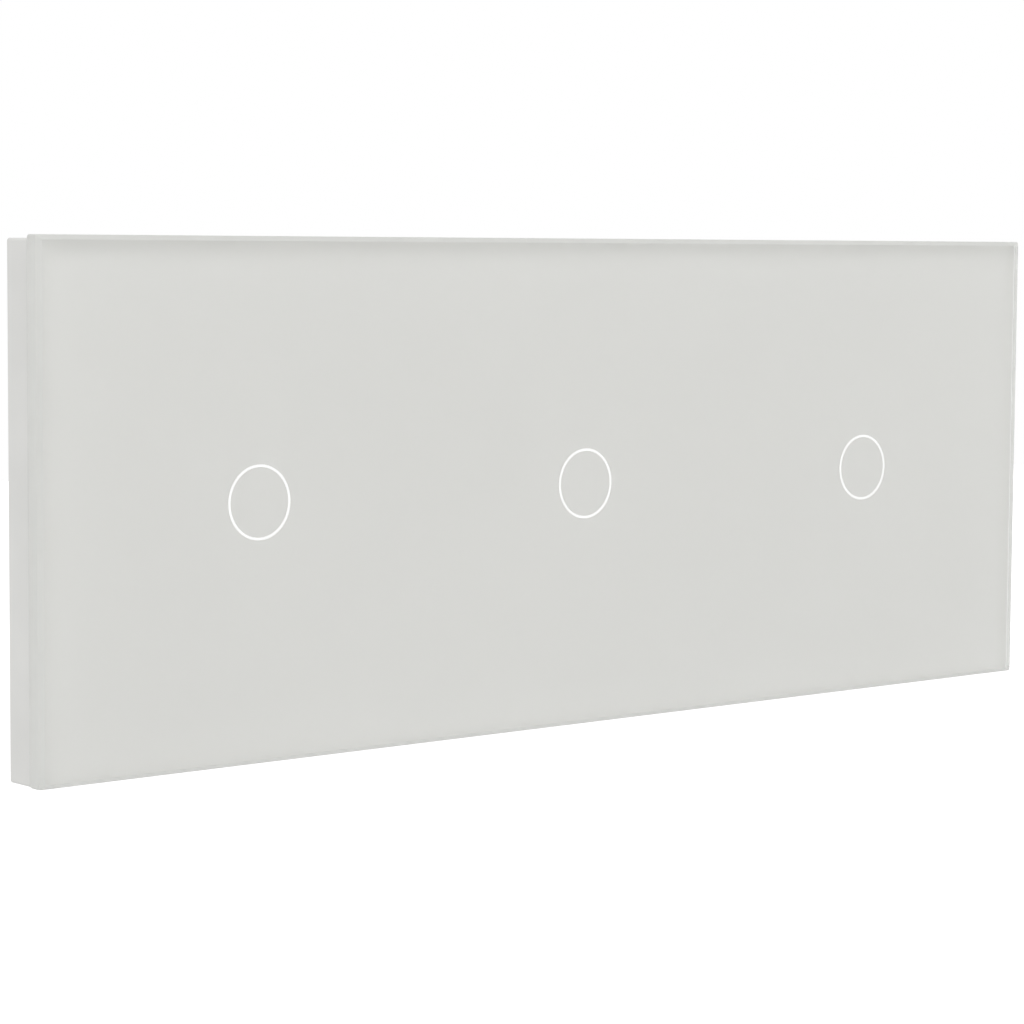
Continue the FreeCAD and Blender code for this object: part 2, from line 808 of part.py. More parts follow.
def housing_holes(body):
    """Round wire entries through the floor and square screwdriver holes through the lower side."""
    entries = front_sketch(body, "entry_plan", -d.housing_depth)
    drivers = sketch_on(body, "driver_plan", "XY_Plane", -d.housing_side / 2)
    for step in (-1, 0, 1):
        circle(entries, d.wire_radius, step * d.terminal_pitch, d.terminal_up)
        centred_rectangle(drivers, d.driver_width, d.driver_width, step * d.terminal_pitch,
                          clamp_screw_deep)
    pocket(body, "entries", entries, d.housing_floor, forward=True)
    pocket(body, "driver_holes", drivers, 2 * d.housing_wall, forward=True)


def power_board():
    """Eight-sided board in the housing, clear of its walls and bosses."""
    body = new_body("middle_power_board")
    reach = 2 * boss_place - d.boss_side - ROOT_TWO * d.loose_gap
    plan = octagon(front_sketch(body, "plan", -board_rear), 2 * board_half, 2 * board_half - reach)
    pad(body, "board", plan, d.power_board_thickness)
    return keep("middle_power_board", body)


def dropper_capacitor():
    """Film capacitor: a potted box with rounded upper edges."""
    body = new_body("middle_dropper_capacitor")
    plan = front_sketch(body, "plan", -board_rear)
    centred_rectangle(plan, d.film_width, d.film_length, d.film_across, d.film_up)
    pad(body, "case", plan, d.film_height, deep=True)
    doc.recompute()
    dress(body, "Chamfer", "edges", rear_rim(body.Shape), d.film_edge)
    return keep("middle_dropper_capacitor", body)


def smoothing_capacitor():
    """Round can that stands on the power board."""
    body = new_body("middle_smoothing_capacitor")
    plan = circle(front_sketch(body, "plan", -board_rear), d.can_radius, can_across, d.can_up)
    pad(body, "can", plan, d.can_height, deep=True)
    return keep("middle_smoothing_capacitor", body)


# The relay, its length along Z and its height into the wall

def relay_base():
    """Moulded foot of the relay, with a step that locates its cover."""
    half_width = d.relay_width / 2
    half_length = d.relay_length / 2
    inside = d.relay_shell + d.running_gap
    low = d.relay_up - half_length
    high = low + d.relay_length
    left = d.relay_across - half_width
    right = left + d.relay_width
    step = foot_top - d.relay_foot / 2
    foot = block("middle_relay_foot", (left, board_rear, low), (right, step, high))
    raised = block("middle_relay_raised", (left + inside, step, low + inside),
                   (right - inside, foot_top, high - inside))
    return keep("middle_relay_base", fuse("middle_relay_base", [foot, raised]))


def relay_coil():
    """Winding on a bobbin with square flanges, and the core's pole face at its upper end."""
    body = new_body("middle_relay_coil")
    for name, start, side, length in (
            ("low_flange", coil_bottom, d.coil_flange_side, d.coil_flange),
            ("winding", coil_bottom, None, coil_length),
            ("high_flange", coil_top - d.coil_flange, d.coil_flange_side, d.coil_flange),
            ("pole", coil_top, d.pole_side, d.pole_thickness)):
        plan = sketch_on(body, f"{name}_plan", "XY_Plane", start, d.relay_across, coil_deep)
        if side is None:
            circle(plan, d.coil_radius)
        else:
            centred_rectangle(plan, side, side)
        pad(body, name, plan, length)
    return keep("middle_relay_coil", body)


def relay_yoke():
    """Bent iron: it stands on the foot below the coil and reaches over it to the armature."""
    body = new_body("middle_relay_yoke")
    sketch = sketch_on(body, "section", "YZ_Plane", d.relay_across - d.iron_width / 2)
    low = coil_bottom - d.iron_thickness
    outline(sketch, [
        (foot_top, low), (yoke_high, low), (yoke_high, armature_back - d.armature_play),
        (yoke_low, armature_back - d.armature_play), (yoke_low, coil_bottom), (foot_top, coil_bottom)])
    pad(body, "iron", sketch, d.iron_width)
    return keep("middle_relay_yoke", body)


def relay_armature():
    """Bent iron plate that hangs on the yoke's end, with the moving contact under its arm."""
    body = new_body("middle_relay_armature")
    sketch = sketch_on(body, "section", "YZ_Plane", d.relay_across - d.iron_width / 2)
    front = armature_back + d.iron_thickness
    arm_end = contact_up + d.contact_side / 2
    outline(sketch, [
        (foot_top + 2 * d.loose_gap, armature_back), (yoke_high, armature_back), (yoke_high, arm_end),
        (arm_low, arm_end), (arm_low, front), (foot_top + 2 * d.loose_gap, front)])
    pad(body, "iron", sketch, d.iron_width)
    button = front_sketch(body, "button_plan", -arm_low)
    centred_rectangle(button, d.contact_side, d.contact_side, d.relay_across, contact_up)
    pad(body, "button", button, d.contact_height)
    return keep("middle_relay_armature", body)


def relay_contact():
    """Post on the foot, with the fixed contact as its wider top."""
    body = new_body("middle_relay_contact")
    top = arm_low - 2 * d.contact_height - d.contact_gap
    plan = front_sketch(body, "plan", -top)
    centred_rectangle(plan, d.contact_side, d.contact_side / 2, d.relay_across, contact_up)
    pad(body, "post", plan, top - foot_top)
    button = front_sketch(body, "button_plan", -top)
    centred_rectangle(button, d.contact_side, d.contact_side, d.relay_across, contact_up)
    pad(body, "button", button, d.contact_height, deep=True)
    return keep("middle_relay_contact", body)


def relay_cover():
    """Thin cap over the relay, its rim on the step of the foot."""
    body = new_body("middle_relay_cover")
    step = foot_top - d.relay_foot / 2
    top = board_rear + d.relay_height
    plan = front_sketch(body, "plan", -step)
    centred_rectangle(plan, d.relay_width, d.relay_length, d.relay_across, d.relay_up)
    pad(body, "case", plan, top - step, deep=True)
    doc.recompute()
    dress(body, "Chamfer", "edges", rear_rim(body.Shape), d.relay_shell / 2)
    hollow = front_sketch(body, "hollow_plan", -step)
    centred_rectangle(hollow, d.relay_width - 2 * d.relay_shell, d.relay_length - 2 * d.relay_shell,
                      d.relay_across, d.relay_up)
    pocket(body, "hollow", hollow, top - step - d.relay_shell)
    return keep("middle_relay_cover", body)


# Small pieces that share a node over all modules

def indicator_leds():
    """Four lamps round each light guide that shine into its edge."""
    lamps = []
    half_width = d.led_width / 2
    near = guide_outer + d.loose_gap
    for name, step in MODULES:
        middle = step * d.module_pitch
        for side in (1, -1):
            low, high = sorted((side * near, side * (near + d.led_depth)), key=lambda size: size.value)
            lamps.append(block(f"{name}_led", (middle + low, -board_front - d.led_height, -half_width),
                               (middle + high, -board_front, half_width)))
            lamps.append(block(f"{name}_led", (middle - half_width, -board_front - d.led_height, low),
                               (middle + half_width, -board_front, high)))
    return keep("indicator_leds", group("indicator_leds", lamps))


def housing_screws():
    """Two screws in each module from the plate into the bosses, their shanks eight-sided for few faces."""
    body = new_body("housing_screws")
    seat = d.plate_thickness + d.running_gap
    for name, step in MODULES:
        for corner, side in (("high", 1), ("low", -1)):
            place_x = step * d.module_pitch + side * boss_place
            head = front_sketch(body, f"{name}_{corner}_head_plan", seat, place_x, side * boss_place)
            circle(head, d.screw_head_radius)
            shank = front_sketch(body, f"{name}_{corner}_shank_plan", seat, place_x, side * boss_place)
            octagon(shank, 2 * d.screw_shank_radius, d.screw_shank_radius * (2 - ROOT_TWO))
            pad(body, f"{name}_{corner}_head", head, d.screw_head_height)
            pad(body, f"{name}_{corner}_shank", shank, seat + d.screw_length - d.loose_gap, deep=True)
    return keep("housing_screws", body)


def terminal_clamps():
    """Brass cages: a tunnel for the wire, a hole for the screw in the floor and a leg to the power board."""
    clamps = []
    top = clamp_bottom + d.clamp_height
    tunnel_half = clamp_half - d.clamp_wall
    hole_half = d.clamp_screw_radius + d.running_gap
    for name, step in MODULES:
        for terminal in (-1, 0, 1):
            x = step * d.module_pitch + terminal * d.terminal_pitch
            cage = block(f"{name}_clamp_cage", (x - clamp_half, clamp_front, clamp_bottom),
                         (x + clamp_half, clamp_rear, top))
            leg = block(f"{name}_clamp_leg", (x - clamp_half / 2, board_rear, top - d.clamp_wall),
                        (x + clamp_half / 2, clamp_rear, top))
            tunnel = block(f"{name}_clamp_tunnel",
                           (x - tunnel_half, clamp_front, clamp_bottom + d.clamp_floor),
                           (x + tunnel_half, clamp_rear, top - d.clamp_wall))
            hole = block(f"{name}_clamp_hole",
                         (x - hole_half, clamp_screw_deep - hole_half, clamp_bottom),
                         (x + hole_half, clamp_screw_deep + hole_half, clamp_bottom + d.clamp_floor))
            clamps.append(cut(f"{name}_clamp", fuse(f"{name}_clamp_body", [cage, leg]), [tunnel, hole]))
    return keep("terminal_clamps", group("terminal_clamps", clamps))


def terminal_screws():
    """Headless clamp screws, eight-sided for few faces, their tips just inside the tunnels."""
    body = new_body("terminal_screws")
    bottom = clamp_bottom + d.clamp_floor + d.loose_gap - d.clamp_screw_length
    for name, step in MODULES:
        for terminal in (-1, 0, 1):
            x = step * d.module_pitch + terminal * d.terminal_pitch
            plan = sketch_on(body, f"{name}_{terminal + 1}_plan", "XY_Plane", bottom, x, clamp_screw_deep)
            octagon(plan, 2 * d.clamp_screw_radius, d.clamp_screw_radius * (2 - ROOT_TWO))
            pad(body, f"{name}_{terminal + 1}_screw", plan, d.clamp_screw_length)
    return keep("terminal_screws", body)


# Assembly

MODULE_PIECES = (
    mounting_plate, sensor_cover, light_guide, touch_electrode, touch_board, touch_chip, board_connector,
    base_housing, power_board, dropper_capacitor, smoothing_capacitor, relay_base, relay_coil, relay_yoke,
    relay_armature, relay_contact, relay_cover)
OTHER_PIECES = (
    glass_panel, back_print, bonding_tape, panel_frame, indicator_leds, housing_screws, terminal_clamps,
    terminal_screws)


def repeat_for_sides(source):
    """The same piece of the left and of the right module, a pitch away."""
    for side, step in MODULES:
        if step == 0:
            continue
        label = source.Label.replace("middle", side)
        body = new_body(label)
        base = body.newObject("PartDesign::FeatureBase", f"{label}_base")
        base.BaseFeature = source
        body.Tip = base
        place(body, step * d.module_pitch, 0, 0)
        keep(label, body)


def write_parts():
    """Checks every object of the document, then writes one file for each sub-part."""
    doc.recompute()
    for item in doc.Objects:
        if "Invalid" in item.State or "Error" in item.State:
            raise RuntimeError(f"{item.Label} is {item.State}")
    for label, item in parts.items():
        if item.Shape.isNull() or not item.Shape.isValid() or not item.Shape.Solids:
            raise RuntimeError(f"{label} has no valid solid")
    os.makedirs("parts", exist_ok=True)
    for label, item in parts.items():
        item.Shape.exportStep(f"parts/{label}.step")
        print(label, len(item.Shape.Solids), round(item.Shape.Volume, 2))


for make_piece in MODULE_PIECES:
    repeat_for_sides(make_piece())
for make_piece in OTHER_PIECES:
    make_piece()
write_parts()
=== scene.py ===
import logging
import math
from dataclasses import dataclass
from enum import Enum
from functools import cache
from typing import Iterable, Sequence

import bmesh
import bpy
from mathutils import Matrix, Vector


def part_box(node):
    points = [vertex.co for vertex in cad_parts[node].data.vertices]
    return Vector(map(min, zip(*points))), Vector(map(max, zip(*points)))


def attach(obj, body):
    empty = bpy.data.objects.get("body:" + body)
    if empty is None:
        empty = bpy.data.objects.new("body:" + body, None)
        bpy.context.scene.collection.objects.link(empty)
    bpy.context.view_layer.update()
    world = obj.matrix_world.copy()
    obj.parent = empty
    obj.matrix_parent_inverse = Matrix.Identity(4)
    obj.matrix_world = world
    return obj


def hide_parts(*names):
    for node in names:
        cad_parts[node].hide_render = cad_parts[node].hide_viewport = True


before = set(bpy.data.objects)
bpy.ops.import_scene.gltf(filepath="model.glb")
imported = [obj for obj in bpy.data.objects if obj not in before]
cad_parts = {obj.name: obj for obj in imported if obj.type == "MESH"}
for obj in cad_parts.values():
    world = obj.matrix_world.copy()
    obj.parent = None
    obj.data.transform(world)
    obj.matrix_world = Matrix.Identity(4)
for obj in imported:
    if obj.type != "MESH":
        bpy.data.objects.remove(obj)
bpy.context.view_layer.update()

logging.basicConfig(level=logging.INFO, format="%(message)s")
LOG = logging.getLogger("touch_switch")

Point = tuple[float, float]
Place = tuple[float, float, float]
Colour = tuple[float, float, float]
Node = bpy.types.Node
Socket = bpy.types.NodeSocket
Shape = bmesh.types.BMesh
Piece = bpy.types.Object

MM = 0.001
WHITE: Colour = (1.0, 1.0, 1.0)
PLASTIC_INDEX = 1.49
GLASS_INDEX = 1.5
PAINT_INDEX = 1.45

# Edges flatter than the first angle are shaded smooth, edges sharper than the second get a rounding, and facets
# that meet flatter than the third become one face.
SMOOTH_BELOW = math.radians(35.0)
ROUNDED_ABOVE = math.radians(30.0)
FLAT_BELOW = math.radians(0.5)
ROUNDING_STEPS = 2
TERRACE_CORNER_STEPS = 8

# Points nearer than this are one: in a CAD node, in a sheet and in a turned solid.
SAME_IN_NODE = 1e-6
SAME_IN_SHEET = 1e-7
SAME_IN_TURNED = 1e-8


class Side(Enum):
    """The three modules, with how many pitches each stands from the middle."""

    LEFT = -1
    MIDDLE = 0
    RIGHT = 1

    @property
    def word(self) -> str:
        """The module's word in node names."""
        return self.name.lower()


class Body(Enum):
    """The bodies of the frame that pieces ride on."""

    MODULES = "modules"
    PANEL = "front_panel"


class Axis(Enum):
    """The axes that things are turned about."""

    DEEP = "Y"
    UP = "Z"


# Node trees


class NodeBuilder:
    """A node tree under construction, with short calls to place and join nodes."""

    def __init__(self, tree: bpy.types.NodeTree) -> None:
        """Starts on a tree."""
        self.tree = tree

    def put(self, kind: str, values: dict[object, object] | None = None, **settings: object) -> Node:
        """Places a node and feeds its inputs.

        Args:
            kind: The node's type name.
            values: Its inputs by name or number, each a socket or a plain value.
            settings: Properties of the node.

        Returns:
            The new node.
        """
        node = self.tree.nodes.new(kind)
        for name, value in settings.items():
            setattr(node, name, value)
        for name, value in (values or {}).items():
            self.feed(node.inputs[name], value)
        return node

    def feed(self, socket: Socket, value: object) -> None:
        """Joins an output to an input, or gives the input a plain value.

        Args:
            socket: The input.
            value: The output's socket, or the plain value.
        """
        if isinstance(value, Socket):
            self.tree.links.new(value, socket)
        else:
            socket.default_value = value

    def maths(self, operation: str, first: object, second: object = 0.0, clamp: bool = False) -> Socket:
        """One sum on two values, each a socket or a number."""
        return self.put("ShaderNodeMath", {0: first, 1: second}, operation=operation, use_clamp=clamp).outputs[0]

    def times(self, first: object, second: object) -> Socket:
        """Two values multiplied."""
        return self.maths("MULTIPLY", first, second)


def rgba(colour: Colour | Socket) -> object:
    """A colour with full alpha, or the socket as it is."""
    return colour if isinstance(colour, Socket) else (*colour, 1.0)


class ShaderTree(NodeBuilder):
    """The nodes of a material, of the world or of a shader group."""

    @classmethod
    def emptied(cls, owner: bpy.types.Material | bpy.types.World) -> "ShaderTree":
        """The tree of a material or a world, without the nodes that it starts with.

        Args:
            owner: The material or the world.

        Returns:
            Its tree.
        """
        owner.use_nodes = True
        owner.node_tree.nodes.clear()
        return cls(owner.node_tree)

    def spread(self, value: object, low: float, high: float, to_low: float = 0.0, to_high: float = 1.0) -> Socket:
        """Maps a value from one range to another, clamped."""
        return self.put("ShaderNodeMapRange", {0: value, 1: low, 2: high, 3: to_low, 4: to_high}).outputs[0]

    def uneven(self, height: Socket, roughness: float, swing: float) -> Socket:
        """A roughness that swings by this much to both sides with the height of a grain."""
        return self.spread(height, 0.3, 0.7, roughness - swing, roughness + swing)

    def blend(self, share: object, first: Colour | Socket, second: Colour | Socket) -> Socket:
        """Mixes two colours by the second one's share."""
        return self.put("ShaderNodeMix", {0: share, 6: rgba(first), 7: rgba(second)}, data_type="RGBA").outputs[2]

    def mottled(self, mask: Socket, colour: Colour, darkest: float) -> Socket:
        """A colour that darkens to a part of itself where a mask is low."""
        return self.blend(mask, tuple(channel * darkest for channel in colour), colour)

    def mixed(self, share: object, first: Socket, second: Socket) -> Socket:
        """Mixes two shaders by the second one's share."""
        return self.put("ShaderNodeMixShader", {0: share, 1: first, 2: second}).outputs[0]

    def principled(self, **values: object) -> Socket:
        """A Principled shader, its inputs given by name, with _ for a space."""
        return self.put("ShaderNodeBsdfPrincipled", spaced(values)).outputs[0]

    def relief(self, height: Socket, depth: float) -> Socket:
        """A bump of this depth in metres from a height between 0 and 1."""
        return self.put("ShaderNodeBump", {"Strength": 1.0, "Distance": depth, "Height": height}).outputs["Normal"]

    def places(self, stretch: Place = (1.0, 1.0, 1.0)) -> Socket:
        """The object's own coordinates, stretched along its axes."""
        own = self.put("ShaderNodeTexCoord").outputs["Object"]
        return self.put("ShaderNodeMapping", {"Vector": own, "Scale": stretch}).outputs[0]

    def noise(self, places: Socket, scale: object, detail: float = 2.0, rough: float = 0.5) -> Socket:
        """Cloudy noise with this many repeats in a metre, and finer layers of this number and strength."""
        values = {"Vector": places, "Scale": scale, "Detail": detail, "Roughness": rough}
        return self.put("ShaderNodeTexNoise", values).outputs["Fac"]


def spaced(values: dict[str, object]) -> dict[str, object]:
    """Values by socket name, from keywords that have _ for a space."""
    return {name.replace("_", " "): value for name, value in values.items()}


class SharedEffect:
    """A shader group that several materials use, built once."""

    name = "effect"
    inputs: dict[str, float] = {}
    outputs: tuple[str, ...] = ("Height",)

    def draw(self, tree: ShaderTree, given: Node) -> Sequence[Socket]:
        """Makes what the group puts out; each effect has its own."""
        raise NotImplementedError

    def group(self) -> bpy.types.NodeTree:
        """The group, made at the first call.

        Returns:
            Its node tree.
        """
        made = bpy.data.node_groups.get(self.name)
        if made is not None:
            return made
        made = bpy.data.node_groups.new(self.name, "ShaderNodeTree")
        for name, value in self.inputs.items():
            socket = made.interface.new_socket(name=name, in_out="INPUT", socket_type="NodeSocketFloat")
            socket.default_value = value
        for name in self.outputs:
            made.interface.new_socket(name=name, in_out="OUTPUT", socket_type="NodeSocketFloat")
        tree = ShaderTree(made)
        drawn = self.draw(tree, tree.put("NodeGroupInput"))
        tree.put("NodeGroupOutput", dict(zip(self.outputs, drawn)))
        return made

    def place(self, tree: ShaderTree, **values: float) -> bpy.types.NodeOutputs:
        """Puts the group into a material, its inputs given by name, with _ for a space, and returns its outputs."""
        return tree.put("ShaderNodeGroup", spaced(values), node_tree=self.group()).outputs


class MouldGrain(SharedEffect):
    """The spark-eroded skin of moulded plastic: fine pits, and clouds where the melt cooled unevenly."""

    name = "mould_grain"
    inputs = {"Grain Scale": 9000.0, "Cloud Scale": 60.0}
    outputs = ("Height", "Clouds")

    def draw(self, tree: ShaderTree, given: Node) -> Sequence[Socket]:
        """Two noises on the object's coordinates.

        Args:
            tree: The group's tree.
            given: Its input node.

        Returns:
            The pits' height and the clouds' mask.
        """
        places = tree.places()
        pits = tree.noise(places, given.outputs["Grain Scale"], 3.0, 0.6)
        clouds = tree.noise(places, given.outputs["Cloud Scale"])
        return pits, tree.spread(clouds, 0.3, 0.7)


class BrushLines(SharedEffect):
    """Rolling and brushing lines of sheet metal, along X."""

    name = "brush_lines"
    inputs = {"Line Scale": 3000.0, "Spot Scale": 300.0}
    outputs = ("Height", "Spots")

    def draw(self, tree: ShaderTree, given: Node) -> Sequence[Socket]:
        """Noise drawn out along X, and blotches of the plating.

        Args:
            tree: The group's tree.
            given: Its input node.

        Returns:
            The lines' height and the blotches' mask.
        """
        lines = tree.noise(tree.places((0.02, 1.0, 1.0)), given.outputs["Line Scale"], 4.0, 0.65)
        spots = tree.noise(tree.places(), given.outputs["Spot Scale"], 3.0, 0.6)
        return lines, tree.spread(spots, 0.35, 0.65)


class SettledDust(SharedEffect):
    """A little dust on faces that look up."""

    name = "settled_dust"
    inputs = {"Dust Scale": 900.0}
    outputs = ("Dust",)

    def draw(self, tree: ShaderTree, given: Node) -> Sequence[Socket]:
        """Noise where the face's normal points up.

        Args:
            tree: The group's tree.
            given: Its input node.

        Returns:
            The dust's mask.
        """
        normal = tree.put("ShaderNodeNewGeometry").outputs["Normal"]
        up = tree.put("ShaderNodeSeparateXYZ", {0: normal}).outputs["Z"]
        facing = tree.spread(up, 0.5, 1.0)
        specks = tree.spread(tree.noise(tree.places(), given.outputs["Dust Scale"], 4.0, 0.7), 0.45, 0.75)
        return (tree.times(facing, specks),)


# Finishes


@dataclass(frozen=True)
class Finish:
    """What a surface is made of, with its record slot."""

    name: str
    slot: str

    def surface(self, tree: ShaderTree) -> Socket:
        """The surface shader's socket; each kind of finish has its own."""
        raise NotImplementedError

    def material(self) -> bpy.types.Material:
        """The material, made at the first call.

        Returns:
            The material.
        """
        made = bpy.data.materials.get(self.name)
        if made is None:
            made = bpy.data.materials.new(self.name)
            tree = ShaderTree.emptied(made)
            tree.put("ShaderNodeOutputMaterial", {"Surface": self.surface(tree)})
        return made


@dataclass(frozen=True)
class MouldedPlastic(Finish):
    """Injection-moulded plastic."""

    colour: Colour = (0.66, 0.66, 0.66)
    roughness: float = 0.42
    swing: float = 0.04
    grain: float = 9000.0
    grain_depth: float = 4e-6
    cloud_scale: float = 70.0
    cloud_shade: float = 0.94
    dust_scale: float = 900.0
    dust_seen: float = 0.3
    dust_share: float = 0.25
    dust_grey: float = 0.45

    def surface(self, tree: ShaderTree) -> Socket:
        """Plastic with a fine eroded grain, slight clouds and a trace of dust.

        Args:
            tree: The material's tree.

        Returns:
            The shader's socket.
        """
        grain = MouldGrain().place(tree, Grain_Scale=self.grain, Cloud_Scale=self.cloud_scale)
        dust = SettledDust().place(tree, Dust_Scale=self.dust_scale)
        clouded = tree.mottled(grain["Clouds"], self.colour, self.cloud_shade)
        dusty = tuple((1 - self.dust_share) * channel + self.dust_share * self.dust_grey for channel in self.colour)
        colour = tree.blend(tree.maths("MULTIPLY", dust["Dust"], self.dust_seen, clamp=True), clouded, dusty)
        return tree.principled(
            Base_Color=colour, Roughness=tree.uneven(grain["Height"], self.roughness, self.swing),
            Normal=tree.relief(grain["Height"], self.grain_depth), IOR=PLASTIC_INDEX)


@dataclass(frozen=True)
class SheetMetal(Finish):
    """Rolled, plated or brushed metal."""

    colour: Colour = (0.6, 0.6, 0.6)
    roughness: float = 0.35
    swing: float = 0.08
    line_scale: float = 3000.0
    line_depth: float = 1.5e-6
    spot_scale: float = 350.0
    spotting: float = 0.15

    def surface(self, tree: ShaderTree) -> Socket:
        """Metal with lines along X and a blotchy plating.

        Args:
            tree: The material's tree.

        Returns:
            The shader's socket.
        """
        brush = BrushLines().place(tree, Line_Scale=self.line_scale, Spot_Scale=self.spot_scale)
        return tree.principled(
            Base_Color=tree.mottled(brush["Spots"], self.colour, 1 - self.spotting), Metallic=1.0,
            Roughness=tree.uneven(brush["Height"], self.roughness, self.swing),
            Normal=tree.relief(brush["Height"], self.line_depth))


@dataclass(frozen=True)
class ClearGlass(Finish):
    """Polished low-iron glass that lamps shine through."""

    tint: Colour = (0.99, 0.995, 0.99)
    roughness: float = 0.0
    smear: float = 0.03
    smear_scale: float = 25.0

    def surface(self, tree: ShaderTree) -> Socket:
        """Glass for the eye, and a clear way for the lamps' light.

        Args:
            tree: The material's tree.

        Returns:
            The shader's socket.
        """
        wipe = MouldGrain().place(tree, Grain_Scale=400.0, Cloud_Scale=self.smear_scale)
        rough = tree.spread(wipe["Clouds"], 0.0, 1.0, self.roughness, self.roughness + self.smear)
        glass = tree.principled(
            Base_Color=rgba(self.tint), Roughness=rough, IOR=GLASS_INDEX, Transmission_Weight=1.0)
        clear = tree.put("ShaderNodeBsdfTransparent", {"Color": rgba(self.tint)}).outputs[0]
        shadow = tree.put("ShaderNodeLightPath").outputs["Is Shadow Ray"]
        return tree.mixed(shadow, glass, clear)


@dataclass(frozen=True)
class GroundGlass(Finish):
    """The matt skin of a ground glass edge, which scatters light both back and through."""

    colour: Colour = (0.85, 0.855, 0.838)
    tint: Colour = (0.955, 0.96, 0.955)
    matt: float = 0.72
    passed: float = 0.55
    roughness: float = 0.45
    spot_shade: float = 0.985
    pit_depth: float = 8e-7

    def surface(self, tree: ShaderTree) -> Socket:
        """Rough glass mixed with a scattering skin, which has grinding lines and pits.

        Args:
            tree: The material's tree.

        Returns:
            The shader's socket.
        """
        lines = BrushLines().place(tree, Line_Scale=2600.0, Spot_Scale=160.0)
        pits = MouldGrain().place(tree, Grain_Scale=12000.0, Cloud_Scale=90.0)
        colour = tree.mottled(lines["Spots"], self.colour, self.spot_shade)
        normal = tree.relief(tree.maths("ADD", lines["Height"], pits["Height"]), self.pit_depth)
        glass = tree.principled(
            Base_Color=rgba(self.tint), Roughness=self.roughness, IOR=GLASS_INDEX, Transmission_Weight=1.0,
            Normal=normal)
        back, through = (tree.put(kind, {"Color": colour, "Normal": normal}).outputs[0]
                         for kind in ("ShaderNodeBsdfDiffuse", "ShaderNodeBsdfTranslucent"))
        return tree.mixed(self.matt, glass, tree.mixed(self.passed, back, through))


@dataclass(frozen=True)
class DiffusingPlastic(Finish):
    """Milky moulded plastic that takes light in and spreads it."""

    colour: Colour = (0.86, 0.87, 0.87)
    roughness: float = 0.36
    swing: float = 0.06
    grain_depth: float = 3e-6
    cloud_shade: float = 0.95
    passed: float = 0.3
    spread_share: float = 0.5
    spread_reach: float = 0.6 * MM

    def surface(self, tree: ShaderTree) -> Socket:
        """Cloudy plastic with a little scattering below its skin.

        Args:
            tree: The material's tree.

        Returns:
            The shader's socket.
        """
        grain = MouldGrain().place(tree, Grain_Scale=7000.0, Cloud_Scale=220.0)
        return tree.principled(
            Base_Color=tree.mottled(grain["Clouds"], self.colour, self.cloud_shade),
            Roughness=tree.uneven(grain["Height"], self.roughness, self.swing),
            Normal=tree.relief(grain["Height"], self.grain_depth), IOR=PLASTIC_INDEX,
            Transmission_Weight=self.passed, Subsurface_Weight=self.spread_share,
            Subsurface_Scale=self.spread_reach)


@dataclass(frozen=True)
class CircuitBoard(Finish):
    """Board laminate under a green mask, with copper lanes that show through it."""

    colour: Colour = (0.012, 0.1, 0.045)
    lane_tint: Colour = (0.03, 0.2, 0.075)
    lane_pitch: float = 1.6 * MM
    lane_gap: float = 0.62
    lane_rise: float = 15e-6
    block_scale: float = 170.0
    block_unevenness: float = 0.6

    def surface(self, tree: ShaderTree) -> Socket:
        """Lanes that step sideways between blocks, a little raised, under a glossy mask.

        Args:
            tree: The material's tree.

        Returns:
            The shader's socket.
        """
        split = tree.put("ShaderNodeSeparateXYZ", {0: tree.places()}).outputs
        block = tree.put("ShaderNodeTexVoronoi", {
            "Vector": tree.places((1.0, 0.02, 1.0)), "Scale": self.block_scale, "Randomness": self.block_unevenness},
            voronoi_dimensions="3D", distance="CHEBYCHEV")
        drawn = tree.put("ShaderNodeSeparateColor", {0: block.outputs["Color"]}).outputs["Red"]
        upright = tree.maths("GREATER_THAN", drawn, 0.5)
        level = tree.maths("SUBTRACT", 1.0, upright)
        run = tree.maths("ADD", tree.times(split["X"], upright), tree.times(split["Z"], level))
        step = tree.maths("FRACT", tree.maths("DIVIDE", run, self.lane_pitch))
        lane = tree.maths("GREATER_THAN", step, self.lane_gap)
        clouds = MouldGrain().place(tree, Grain_Scale=3000.0, Cloud_Scale=120.0)["Clouds"]
        colour = tree.blend(tree.times(lane, tree.spread(clouds, 0.2, 0.45)), self.colour, self.lane_tint)
        return tree.principled(
            Base_Color=colour, Roughness=0.28, Normal=tree.relief(lane, self.lane_rise), Coat_Weight=0.4,
            Coat_Roughness=0.12)


@dataclass(frozen=True)
class ScreenPrint(Finish):
    """Screen-printed paint seen through the glass."""

    colour: Colour = (0.871, 0.869, 0.847)
    mottle_shade: float = 0.985

    def surface(self, tree: ShaderTree) -> Socket:
        """Even paint with the faint mottle of a printed film.

        Args:
            tree: The material's tree.

        Returns:
            The shader's socket.
        """
        mottle = MouldGrain().place(tree, Grain_Scale=2500.0, Cloud_Scale=18.0)["Clouds"]
        return tree.principled(
            Base_Color=tree.mottled(mottle, self.colour, self.mottle_shade), Roughness=0.55, IOR=PAINT_INDEX)


@dataclass(frozen=True)
class RingInk(Finish):
    """Translucent diffusing ink over the ring lamp."""

    colour: Colour = (0.93, 0.93, 0.93)
    mottle_shade: float = 0.97
    # painted glow: the strength of the emission that stands in for the ring lamp's light
    glow: float = 0.36

    def surface(self, tree: ShaderTree) -> Socket:
        """White ink with a painted glow: a little emission stands in for the light of its lamp behind it.

        Args:
            tree: The material's tree.

        Returns:
            The shader's socket.
        """
        mottle = MouldGrain().place(tree, Grain_Scale=6000.0, Cloud_Scale=300.0)["Clouds"]
        # The ink's emission is a painted glow, standing in for the light of the lamp behind it.
        return tree.principled(
            Base_Color=tree.mottled(mottle, self.colour, self.mottle_shade), Roughness=0.5,
            Emission_Color=rgba(WHITE), Emission_Strength=self.glow)


